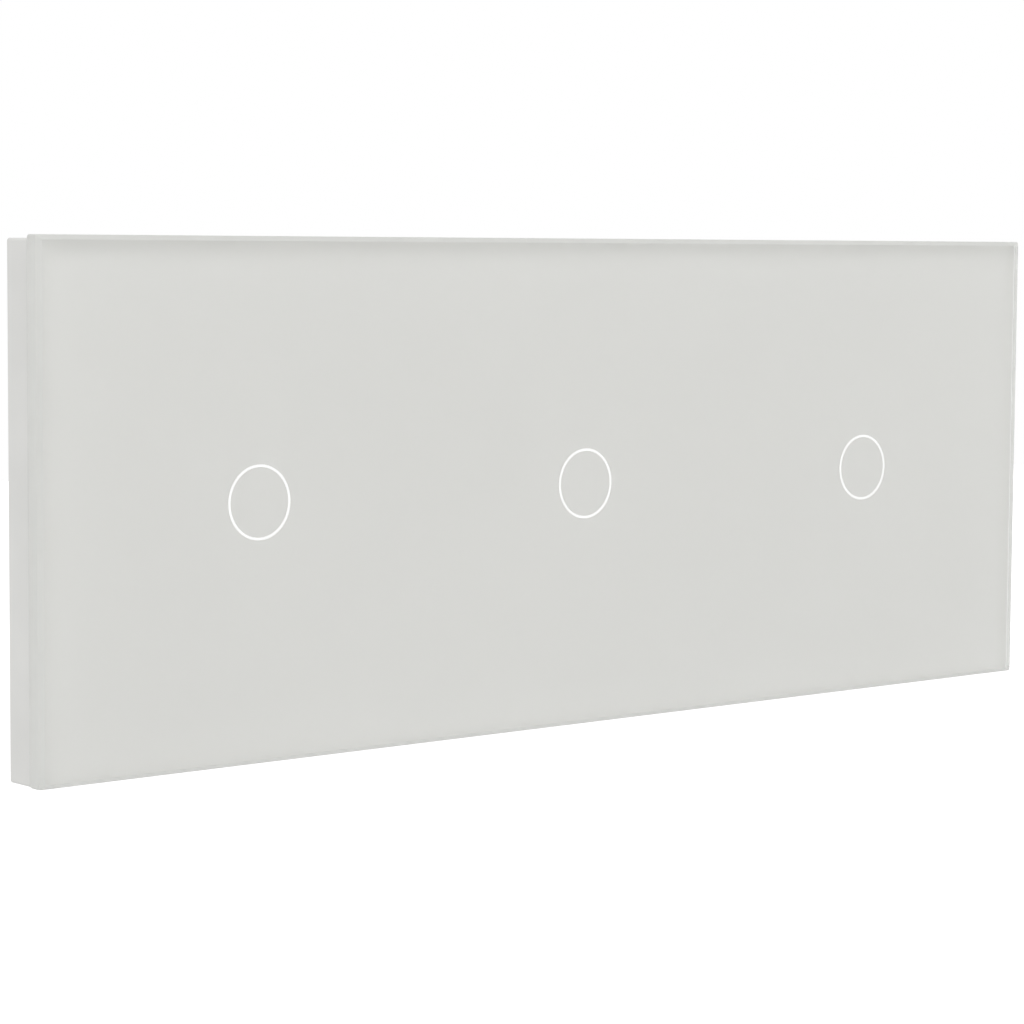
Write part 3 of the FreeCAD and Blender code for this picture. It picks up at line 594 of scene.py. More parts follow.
FRAME_WHITE = MouldedPlastic("frame_white_plastic", "frame_plastic", colour=(0.695, 0.695, 0.675))
COVER_WHITE = MouldedPlastic("cover_white_plastic", "cover_plastic", colour=(0.72, 0.72, 0.71))
HOUSING_CREAM = MouldedPlastic("housing_cream_plastic", "housing_plastic", colour=(0.62, 0.61, 0.57), roughness=0.5)
BOBBIN_CREAM = MouldedPlastic("bobbin_cream_plastic", "cover_plastic", colour=(0.6, 0.55, 0.43))
BLACK_PLASTIC = MouldedPlastic("black_moulded_plastic", "black_plastic", colour=(0.03, 0.03, 0.032), roughness=0.5)
RELAY_BLUE = MouldedPlastic("relay_blue_plastic", "relay_plastic", colour=(0.05, 0.13, 0.34), roughness=0.3)
TAPE_SHEET = MouldedPlastic("tape_sheet", "tape", colour=(0.6, 0.6, 0.57), roughness=0.7, grain=1500.0)
FILM_BLOCK = MouldedPlastic("film_capacitor_case", "capacitor_case", colour=(0.3, 0.04, 0.025), roughness=0.3)
CAN_SLEEVE = MouldedPlastic("capacitor_sleeve", "capacitor_can", colour=(0.03, 0.035, 0.06), roughness=0.25)
BOARD_GREEN = CircuitBoard("board_green_mask", "circuit_board")
LAMP_WHITE = MouldedPlastic("lamp_body", "led", colour=(0.8, 0.78, 0.6), roughness=0.3)
ZINC_SHEET = SheetMetal("zinc_plated_sheet", "plated_steel", colour=(0.58, 0.6, 0.62), spotting=0.09)
SCREW_STEEL = SheetMetal("plated_screw_steel", "screw_steel", colour=(0.6, 0.6, 0.6), roughness=0.28)
CLAMP_BRASS = SheetMetal("clamp_brass", "terminal_brass", colour=(0.7, 0.52, 0.22), roughness=0.3)
SPRING_TIN = SheetMetal("tinned_spring", "spring_metal", colour=(0.68, 0.66, 0.6), roughness=0.25)
CORE_IRON = SheetMetal("nickel_plated_iron", "soft_iron", colour=(0.5, 0.49, 0.47), roughness=0.35)
CONTACT_BRASS = SheetMetal("contact_brass", "contact_metal", colour=(0.72, 0.58, 0.32), roughness=0.25)
WINDING_COPPER = SheetMetal("enamelled_copper", "winding", colour=(0.5, 0.2, 0.07), roughness=0.3)
PANEL_GLASS = ClearGlass("panel_clear_glass", "panel_glass")
GROUND_EDGE = GroundGlass("panel_ground_edge", "panel_glass")
GUIDE_CLEAR = DiffusingPlastic("guide_milky_plastic", "clear_plastic")
BACK_PAINT = ScreenPrint("back_white_paint", "back_paint")
RING_WHITE = RingInk("ring_white_ink", "back_paint")

PLAIN_ELECTRONICS: dict[str, Finish] = {
    "touch_board": BOARD_GREEN,
    "touch_chip": BLACK_PLASTIC,
    "board_connector": BLACK_PLASTIC,
    "power_board": BOARD_GREEN,
    "relay_base": BLACK_PLASTIC,
    "relay_yoke": CORE_IRON,
    "relay_armature": CORE_IRON,
    "relay_contact": CONTACT_BRASS,
}


# Meshes and pieces


@dataclass(frozen=True)
class Box:
    """The box round a CAD node."""

    low: Vector
    high: Vector

    @classmethod
    def of(cls, node: str) -> "Box":
        """The box of a CAD node."""
        low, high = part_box(node)
        return cls(Vector(low), Vector(high))

    @property
    def across(self) -> float:
        """The X of its middle."""
        return (self.low.x + self.high.x) / 2

    @property
    def deep(self) -> float:
        """The Y of its middle."""
        return (self.low.y + self.high.y) / 2

    @property
    def up(self) -> float:
        """The Z of its middle."""
        return (self.low.z + self.high.z) / 2

    @property
    def width(self) -> float:
        """Its size along X."""
        return self.high.x - self.low.x

    @property
    def height(self) -> float:
        """Its size along Z."""
        return self.high.z - self.low.z


def settle_normals(piece: Piece) -> None:
    """Turns the shading at rounded edges towards the broad faces beside them, so that broad faces look flat.

    Args:
        piece: The object, which gets a new mesh.
    """
    modifier = piece.modifiers.new("broad faces first", "WEIGHTED_NORMAL")
    modifier.keep_sharp = True
    graph = bpy.context.evaluated_depsgraph_get()
    settled = bpy.data.meshes.new_from_object(
        piece.evaluated_get(graph), preserve_all_data_layers=True, depsgraph=graph)
    piece.modifiers.clear()
    settled.name = piece.name
    piece.data = settled


def enter_piece(piece: Piece, finish: Finish, body: str, replaced: Sequence[str]) -> None:
    """Gives a finished object its material and body.

    Args:
        piece: The object, at the origin.
        finish: Its finish.
        body: The body that it rides on.
        replaced: The CAD nodes that it stands for.
    """
    bpy.context.scene.collection.objects.link(piece)
    settle_normals(piece)
    piece.data.materials.clear()
    piece.data.materials.append(finish.material())
    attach(piece, body)
    if replaced:
        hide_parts(*replaced)
    LOG.info("piece %s: %d faces on %s", piece.name, len(piece.data.polygons), body)


def dress_node(node: str, finish: Finish) -> None:
    """Gives a CAD node that stays its finish.

    Args:
        node: The node's name.
        finish: Its finish.
    """
    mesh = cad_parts[node].data
    mesh.materials.clear()
    mesh.materials.append(finish.material())
    LOG.info("node %s: %s", node, finish.name)


def shade_smooth(mesh: bpy.types.Mesh) -> None:
    """Shades a mesh smooth across its flatter edges."""
    mesh.polygons.foreach_set("use_smooth", [True] * len(mesh.polygons))
    mesh.set_sharp_from_angle(angle=SMOOTH_BELOW)


def object_from(name: str, shape: Shape) -> Piece:
    """Makes an object of a shape, smooth across its flatter edges.

    Args:
        name: The object's name.
        shape: Its shape, which is freed.

    Returns:
        The object.
    """
    mesh = bpy.data.meshes.new(name)
    shape.normal_update()
    shape.to_mesh(mesh)
    shape.free()
    shade_smooth(mesh)
    return bpy.data.objects.new(name, mesh)


def merged(name: str, shapes: Iterable[Shape]) -> Piece:
    """Makes one object of several shapes.

    Args:
        name: The object's name.
        shapes: Its shapes, which are freed.

    Returns:
        The object.
    """
    whole = bmesh.new()
    for shape in shapes:
        carrier = bpy.data.meshes.new(name)
        shape.to_mesh(carrier)
        shape.free()
        whole.from_mesh(carrier)
        bpy.data.meshes.remove(carrier)
    return object_from(name, whole)


def rounded_outline(width: float, height: float, radius: float, steps: int) -> list[Point]:
    """The points of a rounded rectangle about the origin, anticlockwise.

    Args:
        width: Its full width.
        height: Its full height.
        radius: Its corner radius.
        steps: Segments in each corner.

    Returns:
        The points.
    """
    points = []
    for turn, (side, up) in enumerate(((1, 1), (-1, 1), (-1, -1), (1, -1))):
        across = side * (width / 2 - radius)
        above = up * (height / 2 - radius)
        for step in range(steps + 1):
            angle = math.pi / 2 * (turn + step / steps)
            points.append((across + radius * math.cos(angle), above + radius * math.sin(angle)))
    return points


def circle_outline(radius: float, steps: int, across: float = 0.0) -> list[Point]:
    """The points of a circle that stands this far across."""
    turns = [2 * math.pi * step / steps for step in range(steps)]
    return [(across + radius * math.cos(turn), radius * math.sin(turn)) for turn in turns]


def layer(outline: Sequence[Point], across: float, deep: float, up: float) -> list[Vector]:
    """An upright outline's points about this place."""
    return [Vector((across + x, deep, up + z)) for x, z in outline]


def skinned(rings: Sequence[Sequence[Vector]], endless: bool, capped: bool) -> Shape:
    """Faces between rings of equally many points.

    Args:
        rings: The rings, from one end to the other.
        endless: Whether the last ring joins the first.
        capped: Whether the first and the last ring are closed with a face.

    Returns:
        The shape, which isn't turned outwards yet.
    """
    shape = bmesh.new()
    rows = [[shape.verts.new(point) for point in ring] for ring in rings]
    for low, high in zip(rows, rows[1:] + rows[:1] if endless else rows[1:]):
        for i, corner in enumerate(low):
            j = (i + 1) % len(low)
            shape.faces.new((corner, low[j], high[j], high[i]))
    if capped:
        shape.faces.new(rows[0][::-1])
        shape.faces.new(rows[-1])
    return shape


def lofted(rings: Sequence[Sequence[Vector]], endless: bool = False) -> Shape:
    """A closed solid through rings of equally many points.

    Args:
        rings: The rings, from one end to the other.
        endless: Whether the last ring joins the first; otherwise the ends get caps.

    Returns:
        The shape.
    """
    shape = skinned(rings, endless, capped=not endless)
    bmesh.ops.recalc_face_normals(shape, faces=shape.faces)
    return shape


def turned(profile: Sequence[Point], steps: int, place: Place, axis: Axis = Axis.DEEP) -> Shape:
    """A closed solid of revolution.

    Args:
        profile: (radius, along) points from one end of the axis to the other, or round a ring's section.
        steps: Segments in a full turn.
        place: A point on the axis, where along is 0.
        axis: The axis that along runs on.

    Returns:
        The shape.
    """
    rings = []
    for radius, along in profile:
        circle = circle_outline(radius, steps)
        spots = [(x, along, other) if axis is Axis.DEEP else (x, other, along) for x, other in circle]
        rings.append([Vector(spot) + Vector(place) for spot in spots])
    meets_axis = min(profile[0][0], profile[-1][0]) < SAME_IN_TURNED
    shape = skinned(rings, endless=not meets_axis, capped=False)
    bmesh.ops.remove_doubles(shape, verts=shape.verts, dist=SAME_IN_TURNED)
    bmesh.ops.dissolve_degenerate(shape, edges=shape.edges, dist=SAME_IN_TURNED)
    bmesh.ops.recalc_face_normals(shape, faces=shape.faces)
    return shape


def slab(low: Place, high: Place) -> Shape:
    """A block between two corners.

    Args:
        low: Its lowest corner.
        high: Its highest corner.

    Returns:
        The shape.
    """
    shape = bmesh.new()
    bmesh.ops.create_cube(shape, size=1.0)
    bmesh.ops.scale(shape, vec=Vector(high) - Vector(low), verts=shape.verts)
    bmesh.ops.translate(shape, vec=(Vector(high) + Vector(low)) / 2, verts=shape.verts)
    return shape


def eased(shape: Shape, width: float) -> Shape:
    """Rounds the sharp edges of a shape.

    Args:
        shape: The shape.
        width: The rounding's width.

    Returns:
        The same shape.
    """
    shape.normal_update()
    sharp = [edge for edge in shape.edges if edge.is_manifold and edge.calc_face_angle() > ROUNDED_ABOVE]
    bmesh.ops.bevel(
        shape, geom=sharp, offset=width, offset_type="OFFSET", segments=ROUNDING_STEPS, profile=0.5,
        affect="EDGES", clamp_overlap=True, loop_slide=False)
    return shape


def softened(node: str, width: float) -> Piece:
    """A copy of a CAD node with rounded edges.

    Args:
        node: The node's name.
        width: The rounding's width.

    Returns:
        The object.
    """
    shape = bmesh.new()
    shape.from_mesh(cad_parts[node].data)
    bmesh.ops.remove_doubles(shape, verts=shape.verts, dist=SAME_IN_NODE)
    bmesh.ops.dissolve_limit(shape, angle_limit=FLAT_BELOW, verts=shape.verts, edges=shape.edges)
    return object_from(f"{node}_moulding", eased(shape, width))


def rim(inner: float, profile: Sequence[Point], rising: float, steps: int, place: Place) -> Shape:
    """A round rim on a face, of (outwards, rise) points in millimetres; it rises along Y, or against it at -1."""
    return turned([(inner + out * MM, rising * rise * MM) for out, rise in profile], steps, place)


def terraced(size: Point, corner: float, profile: Sequence[Point], rising: float, place: Place,
             endless: bool = False) -> Shape:
    """A raised rounded rectangle on a face, or a raised line round it.

    Args:
        size: Its width and height.
        corner: Its corner radius.
        profile: (inwards, rise) points in millimetres from the outer edge at the face.
        rising: 1 if it rises along Y, -1 against it.
        place: Its middle on the face.
        endless: Whether the profile comes back to the face, as a line's does.

    Returns:
        The shape.
    """
    rings = []
    for inset, rise in profile:
        width, height = (length - 2 * inset * MM for length in size)
        outline = rounded_outline(width, height, corner, TERRACE_CORNER_STEPS)
        rings.append(layer(outline, place[0], place[1] + rising * rise * MM, place[2]))
    return lofted(rings, endless)


def flat_sheet(name: str, outlines: Iterable[Sequence[Point]], front: float, back: float) -> Piece:
    """A sheet in the XZ plane with holes, and islands in the holes.

    Args:
        name: The object's name.
        outlines: Closed outlines; one inside another is a hole.
        front: The Y of its front face.
        back: The Y of its rear face.

    Returns:
        The object, its place in its mesh.
    """
    curve = bpy.data.curves.new(name, "CURVE")
    curve.dimensions = "2D"
    curve.fill_mode = "BOTH"
    curve.extrude = (back - front) / 2
    for outline in outlines:
        spline = curve.splines.new("POLY")
        spline.points.add(len(outline) - 1)
        for point, (across, up) in zip(spline.points, outline):
            point.co = (across, up, 0.0, 1.0)
        spline.use_cyclic_u = True
    carrier = bpy.data.objects.new(name, curve)
    mesh = bpy.data.meshes.new_from_object(carrier)
    bpy.data.objects.remove(carrier)
    shape = bmesh.new()
    shape.from_mesh(mesh)
    bpy.data.meshes.remove(mesh)
    stand = Matrix.Translation((0.0, (front + back) / 2, 0.0)) @ Matrix.Rotation(math.pi / 2, 4, "X")
    bmesh.ops.transform(shape, matrix=stand, verts=shape.verts)
    bmesh.ops.remove_doubles(shape, verts=shape.verts, dist=SAME_IN_SHEET)
    bmesh.ops.recalc_face_normals(shape, faces=shape.faces)
    return object_from(name, shape)


# Geometry Nodes recipes


class Recipe(NodeBuilder):
    """A Geometry Nodes tree under construction: named inputs, and a result that gets its material at the end."""

    def __init__(self, name: str) -> None:
        """Starts a tree.

        Args:
            name: The tree's name.
        """
        super().__init__(bpy.data.node_groups.new(name, "GeometryNodeTree"))
        face = self.tree.interface
        face.new_socket(name="Geometry", in_out="INPUT", socket_type="NodeSocketGeometry")
        face.new_socket(name="Material", in_out="INPUT", socket_type="NodeSocketMaterial")
        face.new_socket(name="Geometry", in_out="OUTPUT", socket_type="NodeSocketGeometry")
        self.given = self.put("NodeGroupInput").outputs

    def size(self, name: str, value: float) -> Socket:
        """A named length or count of the tree.

        Args:
            name: Its name.
            value: Its usual value.

        Returns:
            Its socket inside the tree.
        """
        socket = self.tree.interface.new_socket(name=name, in_out="INPUT", socket_type="NodeSocketFloat")
        socket.default_value = value
        return self.given[name]

    def vector(self, x: object = 0.0, y: object = 0.0, z: object = 0.0) -> Socket:
        """A vector of three values."""
        return self.put("ShaderNodeCombineXYZ", {0: x, 1: y, 2: z}).outputs[0]

    def moved(self, shape: Socket, place: object = (0.0, 0.0, 0.0), turn: object = (0.0, 0.0, 0.0),
              scale: object = (1.0, 1.0, 1.0)) -> Socket:
        """A shape, scaled, turned and moved."""
        values = {"Geometry": shape, "Translation": place, "Rotation": turn, "Scale": scale}
        return self.put("GeometryNodeTransform", values).outputs[0]

    def upright(self, shape: Socket) -> Socket:
        """A shape whose Z is turned to the front."""
        return self.moved(shape, turn=(math.pi / 2, 0.0, 0.0))

    def joined(self, *shapes: Socket) -> Socket:
        """Several shapes as one.

        Args:
            shapes: The shapes' sockets.

        Returns:
            Their common socket.
        """
        node = self.put("GeometryNodeJoinGeometry")
        for shape in reversed(shapes):
            self.feed(node.inputs[0], shape)
        return node.outputs[0]

    def cut(self, shape: Socket, *tools: Socket) -> Socket:
        """A shape without what the tools take away.

        Args:
            shape: The shape's socket.
            tools: The tools' sockets; they may cross.

        Returns:
            The remaining shape's socket.
        """
        node = self.put("GeometryNodeMeshBoolean", {0: shape}, operation="DIFFERENCE", solver="EXACT")
        for tool in tools:
            self.feed(node.inputs[1], tool)
        return node.outputs[0]

    def drum(self, radius: object, height: object, sides: int, middle: object = 0.0) -> Socket:
        """A cylinder about Z whose middle is at this height."""
        shape = self.put("GeometryNodeMeshCylinder", {"Vertices": sides, "Radius": radius, "Depth": height})
        return self.moved(shape.outputs["Mesh"], self.vector(0.0, 0.0, middle))

    def brick(self, size: object, place: object = (0.0, 0.0, 0.0)) -> Socket:
        """A block of this size about a place."""
        return self.moved(self.put("GeometryNodeMeshCube", {"Size": size}).outputs["Mesh"], place)

    def circle(self, steps: int, radius: object) -> Socket:
        """A round curve."""
        values = {"Resolution": steps, "Radius": radius}
        return self.put("GeometryNodeCurvePrimitiveCircle", values, mode="RADIUS").outputs[0]

    def spiral(self, turns: object, radius: object, height: object) -> Socket:
        """A curve that winds up along Z."""
        values = {"Resolution": 20, "Rotations": turns, "Start Radius": radius, "End Radius": radius, "Height": height}
        return self.put("GeometryNodeCurveSpiral", values).outputs[0]

    def swept(self, path: Socket, profile: Socket, capped: bool = True) -> Socket:
        """A profile run along a path."""
        return self.put("GeometryNodeCurveToMesh", {0: path, 1: profile, "Fill Caps": capped}).outputs[0]

    def facing(self, way: Socket, about: Axis) -> Socket:
        """The turn about an axis that points X this way."""
        values = {"Vector": way}
        return self.put("FunctionNodeAlignEulerToVector", values, axis="X", pivot_axis=about.value).outputs[0]

    def repeat(self, points: Socket, shape: Socket, turn: object = (0.0, 0.0, 0.0)) -> Socket:
        """A copy of a shape at each point."""
        values = {"Points": points, "Instance": shape, "Rotation": turn}
        return self.put("GeometryNodeInstanceOnPoints", values).outputs[0]

    def everywhere(self, shape: Socket, turn: object = (0.0, 0.0, 0.0)) -> bpy.types.NodeTree:
        """Ends the tree in a copy of a shape at each point that it is given, and returns it."""
        return self.finish(self.repeat(self.given["Geometry"], shape, turn))

    def real(self, copies: Socket) -> Socket:
        """The copies as one plain mesh."""
        return self.put("GeometryNodeRealizeInstances", {0: copies}).outputs[0]

    def finish(self, copies: Socket) -> bpy.types.NodeTree:
        """Makes the copies real, gives them the material and closes the tree.

        Args:
            copies: The socket of what the tree makes.

        Returns:
            The tree.
        """
        values = {"Geometry": self.real(copies), "Material": self.given["Material"]}
        self.put("NodeGroupOutput", {0: self.put("GeometryNodeSetMaterial", values).outputs[0]})
        return self.tree


@dataclass(frozen=True)
class ScrewShares:
    """A screw's lesser sizes, by its head's radius, its slot's depth and its shank's radius and length."""

    slot_reach: float = 1.35
    tool_height: float = 1.2
    cross_tool_height: float = 1.152
    core_radius: float = 0.82
    ridge_place: float = 0.88
    ridge_radius: float = 0.14
    threaded: float = 0.92
    thread_foot: float = -0.96


@cache
def screw_recipe() -> bpy.types.NodeTree:
    """A screw at each point: a head with a driver slot or cross, and a shank with its thread, its tip along -Z.

    Returns:
        The tree.
    """
    r, share = Recipe("screws_at_points"), ScrewShares()
    head_radius, head_height = r.size("Head Radius", 2.3 * MM), r.size("Head Height", 1.0 * MM)
    shank_radius, shank_length = r.size("Shank Radius", 1.1 * MM), r.size("Shank Length", 8.0 * MM)
    slot_width, slot_depth = r.size("Slot Width", 0.6 * MM), r.size("Slot Depth", 0.5 * MM)
    crossed, pitch, tilt = r.size("Cross", 1.0), r.size("Thread Pitch", 0.7 * MM), r.size("Tilt", 0.0)
    blank = r.drum(head_radius, head_height, 48, r.times(head_height, 0.5))
    reach = r.times(head_radius, share.slot_reach)
    middle = r.vector(0.0, 0.0, r.maths("SUBTRACT", head_height, r.times(slot_depth, 0.5)))
    along = r.brick(r.vector(reach, slot_width, r.times(slot_depth, share.tool_height)), middle)
    across_reach = r.maths("ADD", r.times(reach, crossed), r.times(slot_width, 0.5))
    across = r.brick(r.vector(slot_width, across_reach, r.times(slot_depth, share.cross_tool_height)), middle)
    head = r.cut(blank, along, across)
    shank = r.drum(r.times(shank_radius, share.core_radius), shank_length, 24, r.times(shank_length, -0.5))
    threaded = r.times(shank_length, share.threaded)
    spiral = r.spiral(r.maths("DIVIDE", threaded, pitch), r.times(shank_radius, share.ridge_place), threaded)
    ridge = r.swept(spiral, r.circle(3, r.times(shank_radius, share.ridge_radius)))
    thread = r.moved(ridge, r.vector(0.0, 0.0, r.times(shank_length, share.thread_foot)))
    return r.everywhere(r.joined(head, shank, thread), r.vector(tilt, 0.0, 0.0))


@cache
def disc_recipe() -> bpy.types.NodeTree:
    """A thin disc with a sunken middle at each point, facing along Y, as an ejector pin leaves it.

    Returns:
        The tree.
    """
    r = Recipe("discs_at_points")
    radius, height = r.size("Radius", 1.5 * MM), r.size("Height", 0.08 * MM)
    lip = r.swept(r.circle(36, radius), r.circle(6, height), capped=False)
    plug = r.drum(radius, height, 36)
    return r.everywhere(r.joined(lip, plug), (math.pi / 2, 0.0, 0.0))


@cache
def rib_recipe() -> bpy.types.NodeTree:
    """Grip ribs along each edge of the given mesh: rounded bars that run along Y and stand across the edge.

    Returns:
        The tree.
    """
    r = Recipe("ribs_along_edges")
    width, rise = r.size("Width", 0.9 * MM), r.size("Rise", 0.35 * MM)
    length, spacing = r.size("Length", 9.0 * MM), r.size("Spacing", 2.2 * MM)
    path = r.put("GeometryNodeMeshToCurve", {0: r.given["Geometry"]}).outputs[0]
    points = r.put("GeometryNodeResampleCurve", {"Curve": path, "Length": spacing}, mode="LENGTH").outputs[0]
    bar = r.moved(r.drum(0.5, length, 12), scale=r.vector(width, r.times(rise, 2.0), 1.0))
    tangent = r.put("GeometryNodeInputTangent").outputs[0]
    return r.finish(r.repeat(points, r.upright(bar), r.facing(tangent, Axis.DEEP)))


@cache
def prism_recipe() -> bpy.types.NodeTree:
    """Small prisms round each point, on a circle in the XZ plane.

    Returns:
        The tree.
    """
    r = Recipe("prisms_round_points")
    radius, count = r.size("Radius", 6.0 * MM), r.size("Count", 60.0)
    depth, width, rise = r.size("Depth", 1.4 * MM), r.size("Width", 0.4 * MM), r.size("Rise", 0.12 * MM)
    whole, half_diagonal = r.put("FunctionNodeFloatToInt", {0: count}).outputs[0], 0.7071
    ring = r.put("GeometryNodeMeshCircle", {"Vertices": whole, "Radius": radius}).outputs[0]
    bar = r.put("GeometryNodeMeshCone", {
        "Vertices": 4, "Radius Top": 0.0, "Radius Bottom": half_diagonal, "Depth": 1.0}).outputs[0]
    squared = r.moved(bar, turn=(0.0, 0.0, math.pi / 4))
    sized = r.moved(squared, scale=r.vector(depth, width, rise))
    outwards = r.facing(r.put("GeometryNodeInputPosition").outputs[0], Axis.UP)
    return r.everywhere(r.upright(r.real(r.repeat(ring, sized, outwards))))


@cache
def winding_recipe() -> bpy.types.NodeTree:
    """Wire wound round an axis along Z through each point.

    Returns:
        The tree.
    """
    r = Recipe("winding_round_points")
    radius, length = r.size("Radius", 3.3 * MM), r.size("Length", 7.9 * MM)
    wire = r.size("Wire Radius", 0.1 * MM)
    spiral = r.spiral(r.maths("DIVIDE", length, r.times(wire, 2.05)), radius, length)
    return r.everywhere(r.swept(spiral, r.circle(6, wire)))


@cache
def block_recipe() -> bpy.types.NodeTree:
    """A small block at each point, such as a chip's leg or a board's part.

    Returns:
        The tree.
    """
    r = Recipe("blocks_at_points")
    size = [r.size(f"Size {axis}", 1.0 * MM) for axis in "XYZ"]
    return r.everywhere(r.brick(r.vector(*size)))


@cache
def bead_recipe() -> bpy.types.NodeTree:
    """A stamped bead at each point of a face that looks along -Y: a long low mound with round ends.

    Returns:
        The tree.
    """
    r = Recipe("beads_at_points")
    length, width = r.size("Length", 10.0 * MM), r.size("Width", 2.0 * MM)
    rise, turn = r.size("Rise", 0.4 * MM), r.size("Turn", 0.0)
    half = r.times(width, 0.5)
    ball = r.put("GeometryNodeMeshUVSphere", {"Segments": 24, "Rings": 12, "Radius": half}).outputs["Mesh"]
    place = r.put("GeometryNodeInputPosition").outputs[0]
    side = r.maths("SIGN", r.put("ShaderNodeSeparateXYZ", {0: place}).outputs[0])
    shift = r.times(side, r.times(r.maths("SUBTRACT", length, width), 0.5))
    drawn = r.put("GeometryNodeSetPosition", {"Geometry": ball, "Offset": r.vector(shift)}).outputs[0]
    low = r.moved(drawn, scale=r.vector(1.0, 1.0, r.maths("DIVIDE", rise, half)))
    return r.everywhere(r.upright(low), r.vector(0.0, turn, 0.0))


def grown(name: str, recipe: bpy.types.NodeTree, points: Iterable[Place], sizes: dict[str, float],
          finish: Finish, edges: Sequence[tuple[int, int]] = ()) -> Piece:
    """Runs a recipe on points and keeps its result as a plain mesh.

    Args:
        name: The piece's name.
        recipe: The Geometry Nodes tree.
        points: The places that it works on.
        sizes: Its named inputs.
        finish: The piece's finish.
        edges: Pairs of points that are joined.

    Returns:
        The piece.
    """
    mesh = bpy.data.meshes.new(f"{name}_points")
    mesh.from_pydata(list(points), list(edges), [])
    carrier = bpy.data.objects.new(f"{name}_points", mesh)
    bpy.context.scene.collection.objects.link(carrier)
    modifier = carrier.modifiers.new("recipe", "NODES")
    modifier.node_group = recipe
    values = {**sizes, "Material": finish.material()}
    for item in recipe.interface.items_tree:
        if item.item_type == "SOCKET" and item.in_out == "INPUT" and item.name in values:
            modifier[item.identifier] = values[item.name]
    graph = bpy.context.evaluated_depsgraph_get()
    made = bpy.data.meshes.new_from_object(carrier.evaluated_get(graph), depsgraph=graph)
    bpy.data.objects.remove(carrier)
    if not made.polygons:
        raise RuntimeError(f"{name} came out empty")
    shade_smooth(made)
    made.name = name
    return bpy.data.objects.new(name, made)


# Sub-assemblies


class Assembly:
    """Pieces that are built together and ride on one body."""

    body = Body.MODULES

    def enter(self, piece: Piece, finish: Finish, *replaced: str) -> None:
        """Enters a finished piece, which may stand for CAD nodes."""
        enter_piece(piece, finish, self.body.value, replaced)

    def mould(self, node: str, width: float, finish: Finish) -> None:
        """Lets a copy with rounded edges stand for a CAD node."""
        self.enter(softened(node, width), finish, node)

    def grow(self, name: str, recipe: bpy.types.NodeTree, points: Iterable[Place], sizes: dict[str, float],
             finish: Finish, *replaced: str, edges: Sequence[tuple[int, int]] = ()) -> None:
        """Enters what a recipe makes of some points."""
        self.enter(grown(name, recipe, points, sizes, finish, edges), finish, *replaced)


@dataclass
class FrontPanel(Assembly):
    """The glass with its print, the tape and the moulded frame, which pull off as one."""

    body = Body.PANEL
    corner_radius: float = 0.4 * MM
    least_radius: float = 0.15 * MM
    arris: float = 0.12 * MM
    slope_share: float = 0.7
    bevel: float = 0.8 * MM
    corner_steps: int = 10
    flat_from: float = 0.9
    print_bond: float = 0.02 * MM
    print_reach: float = 0.18 * MM
    print_corner: float = 0.3 * MM
    print_steps: int = 4
    ring_radius: float = 6.0 * MM
    ring_line: float = 0.4 * MM
    ring_steps: int = 128
    edge_round: float = 0.25 * MM
    web_thickness: float = 1.5 * MM
    pin_across: float = 22.0 * MM
    pin_up: float = 33.5 * MM
    pin_radius: float = 1.4 * MM
    pin_height: float = 0.07 * MM

    def glass(self) -> None:
        """The plate, its edges ground and its front bevelled, each corner of the profile eased by an arris."""
        box = Box.of("glass_panel")
        rear, front, ease, slope = box.high.y, box.low.y, self.arris, self.arris * self.slope_share
        stations = (
            (ease, rear), (0.3 * ease, rear - 0.3 * ease), (0.0, rear - ease),
            (0.0, front + self.bevel + ease), (0.2 * slope, front + self.bevel),
            (slope, front + self.bevel - slope), (self.bevel - slope, front + slope),
            (self.bevel + 0.2 * slope, front + 0.15 * slope), (self.bevel + ease + slope, front))
        rings = []
        for inset, deep in stations:
            radius = max(self.corner_radius - inset, self.least_radius)
            outline = rounded_outline(box.width - 2 * inset, box.height - 2 * inset, radius, self.corner_steps)
            rings.append(layer(outline, 0.0, deep, box.up))
        plate = object_from("glass_plate", lofted(rings))
        self.enter(plate, PANEL_GLASS, "glass_panel")
        plate.data.materials.append(GROUND_EDGE.material())
        for face in plate.data.polygons:
            face.material_index = 0 if abs(face.normal.y) > self.flat_from else 1

    def ring_places(self) -> list[float]:
        """The X of each module's middle."""
        return [Box.of(f"{side.word}_sensor_cover").across for side in Side]

    def back_print(self) -> None:
        """The paint film with its ring windows, run out to the rear arris of the glass, and the ink in the windows."""
        box = Box.of("back_print")
        front, back = box.low.y - self.print_bond, box.high.y
        width, height = box.width + 2 * self.print_reach, box.height + 2 * self.print_reach
        film = [(across, up + box.up) for across, up in
                rounded_outline(width, height, self.print_corner, self.print_steps)]
        rings = [circle_outline(self.ring_radius + line * self.ring_line / 2, self.ring_steps, across)
                 for across in self.ring_places() for line in (1, -1)]
        self.enter(flat_sheet("paint_film", [film, *rings], front, back), BACK_PAINT, "back_print")
        self.enter(flat_sheet("ring_ink", rings, front, back), RING_WHITE)

    def moulded_frame(self) -> None:
        """The frame with rounded edges, and the marks of the ejector pins behind its web."""
        self.mould("panel_frame", self.edge_round, FRAME_WHITE)
        web = Box.of("panel_frame").low.y + self.web_thickness
        spots = [(across + side * self.pin_across, web, up * self.pin_up)
                 for across in self.ring_places() for side in (-1, 1) for up in (-1, 1)]
        sizes = {"Radius": self.pin_radius, "Height": self.pin_height}
        self.grow("frame_ejector_marks", disc_recipe(), spots, sizes, FRAME_WHITE)

    def build(self) -> None:
        """Makes every piece of the panel."""
        self.glass()
        self.back_print()
        self.moulded_frame()
        dress_node("bonding_tape", TAPE_SHEET)


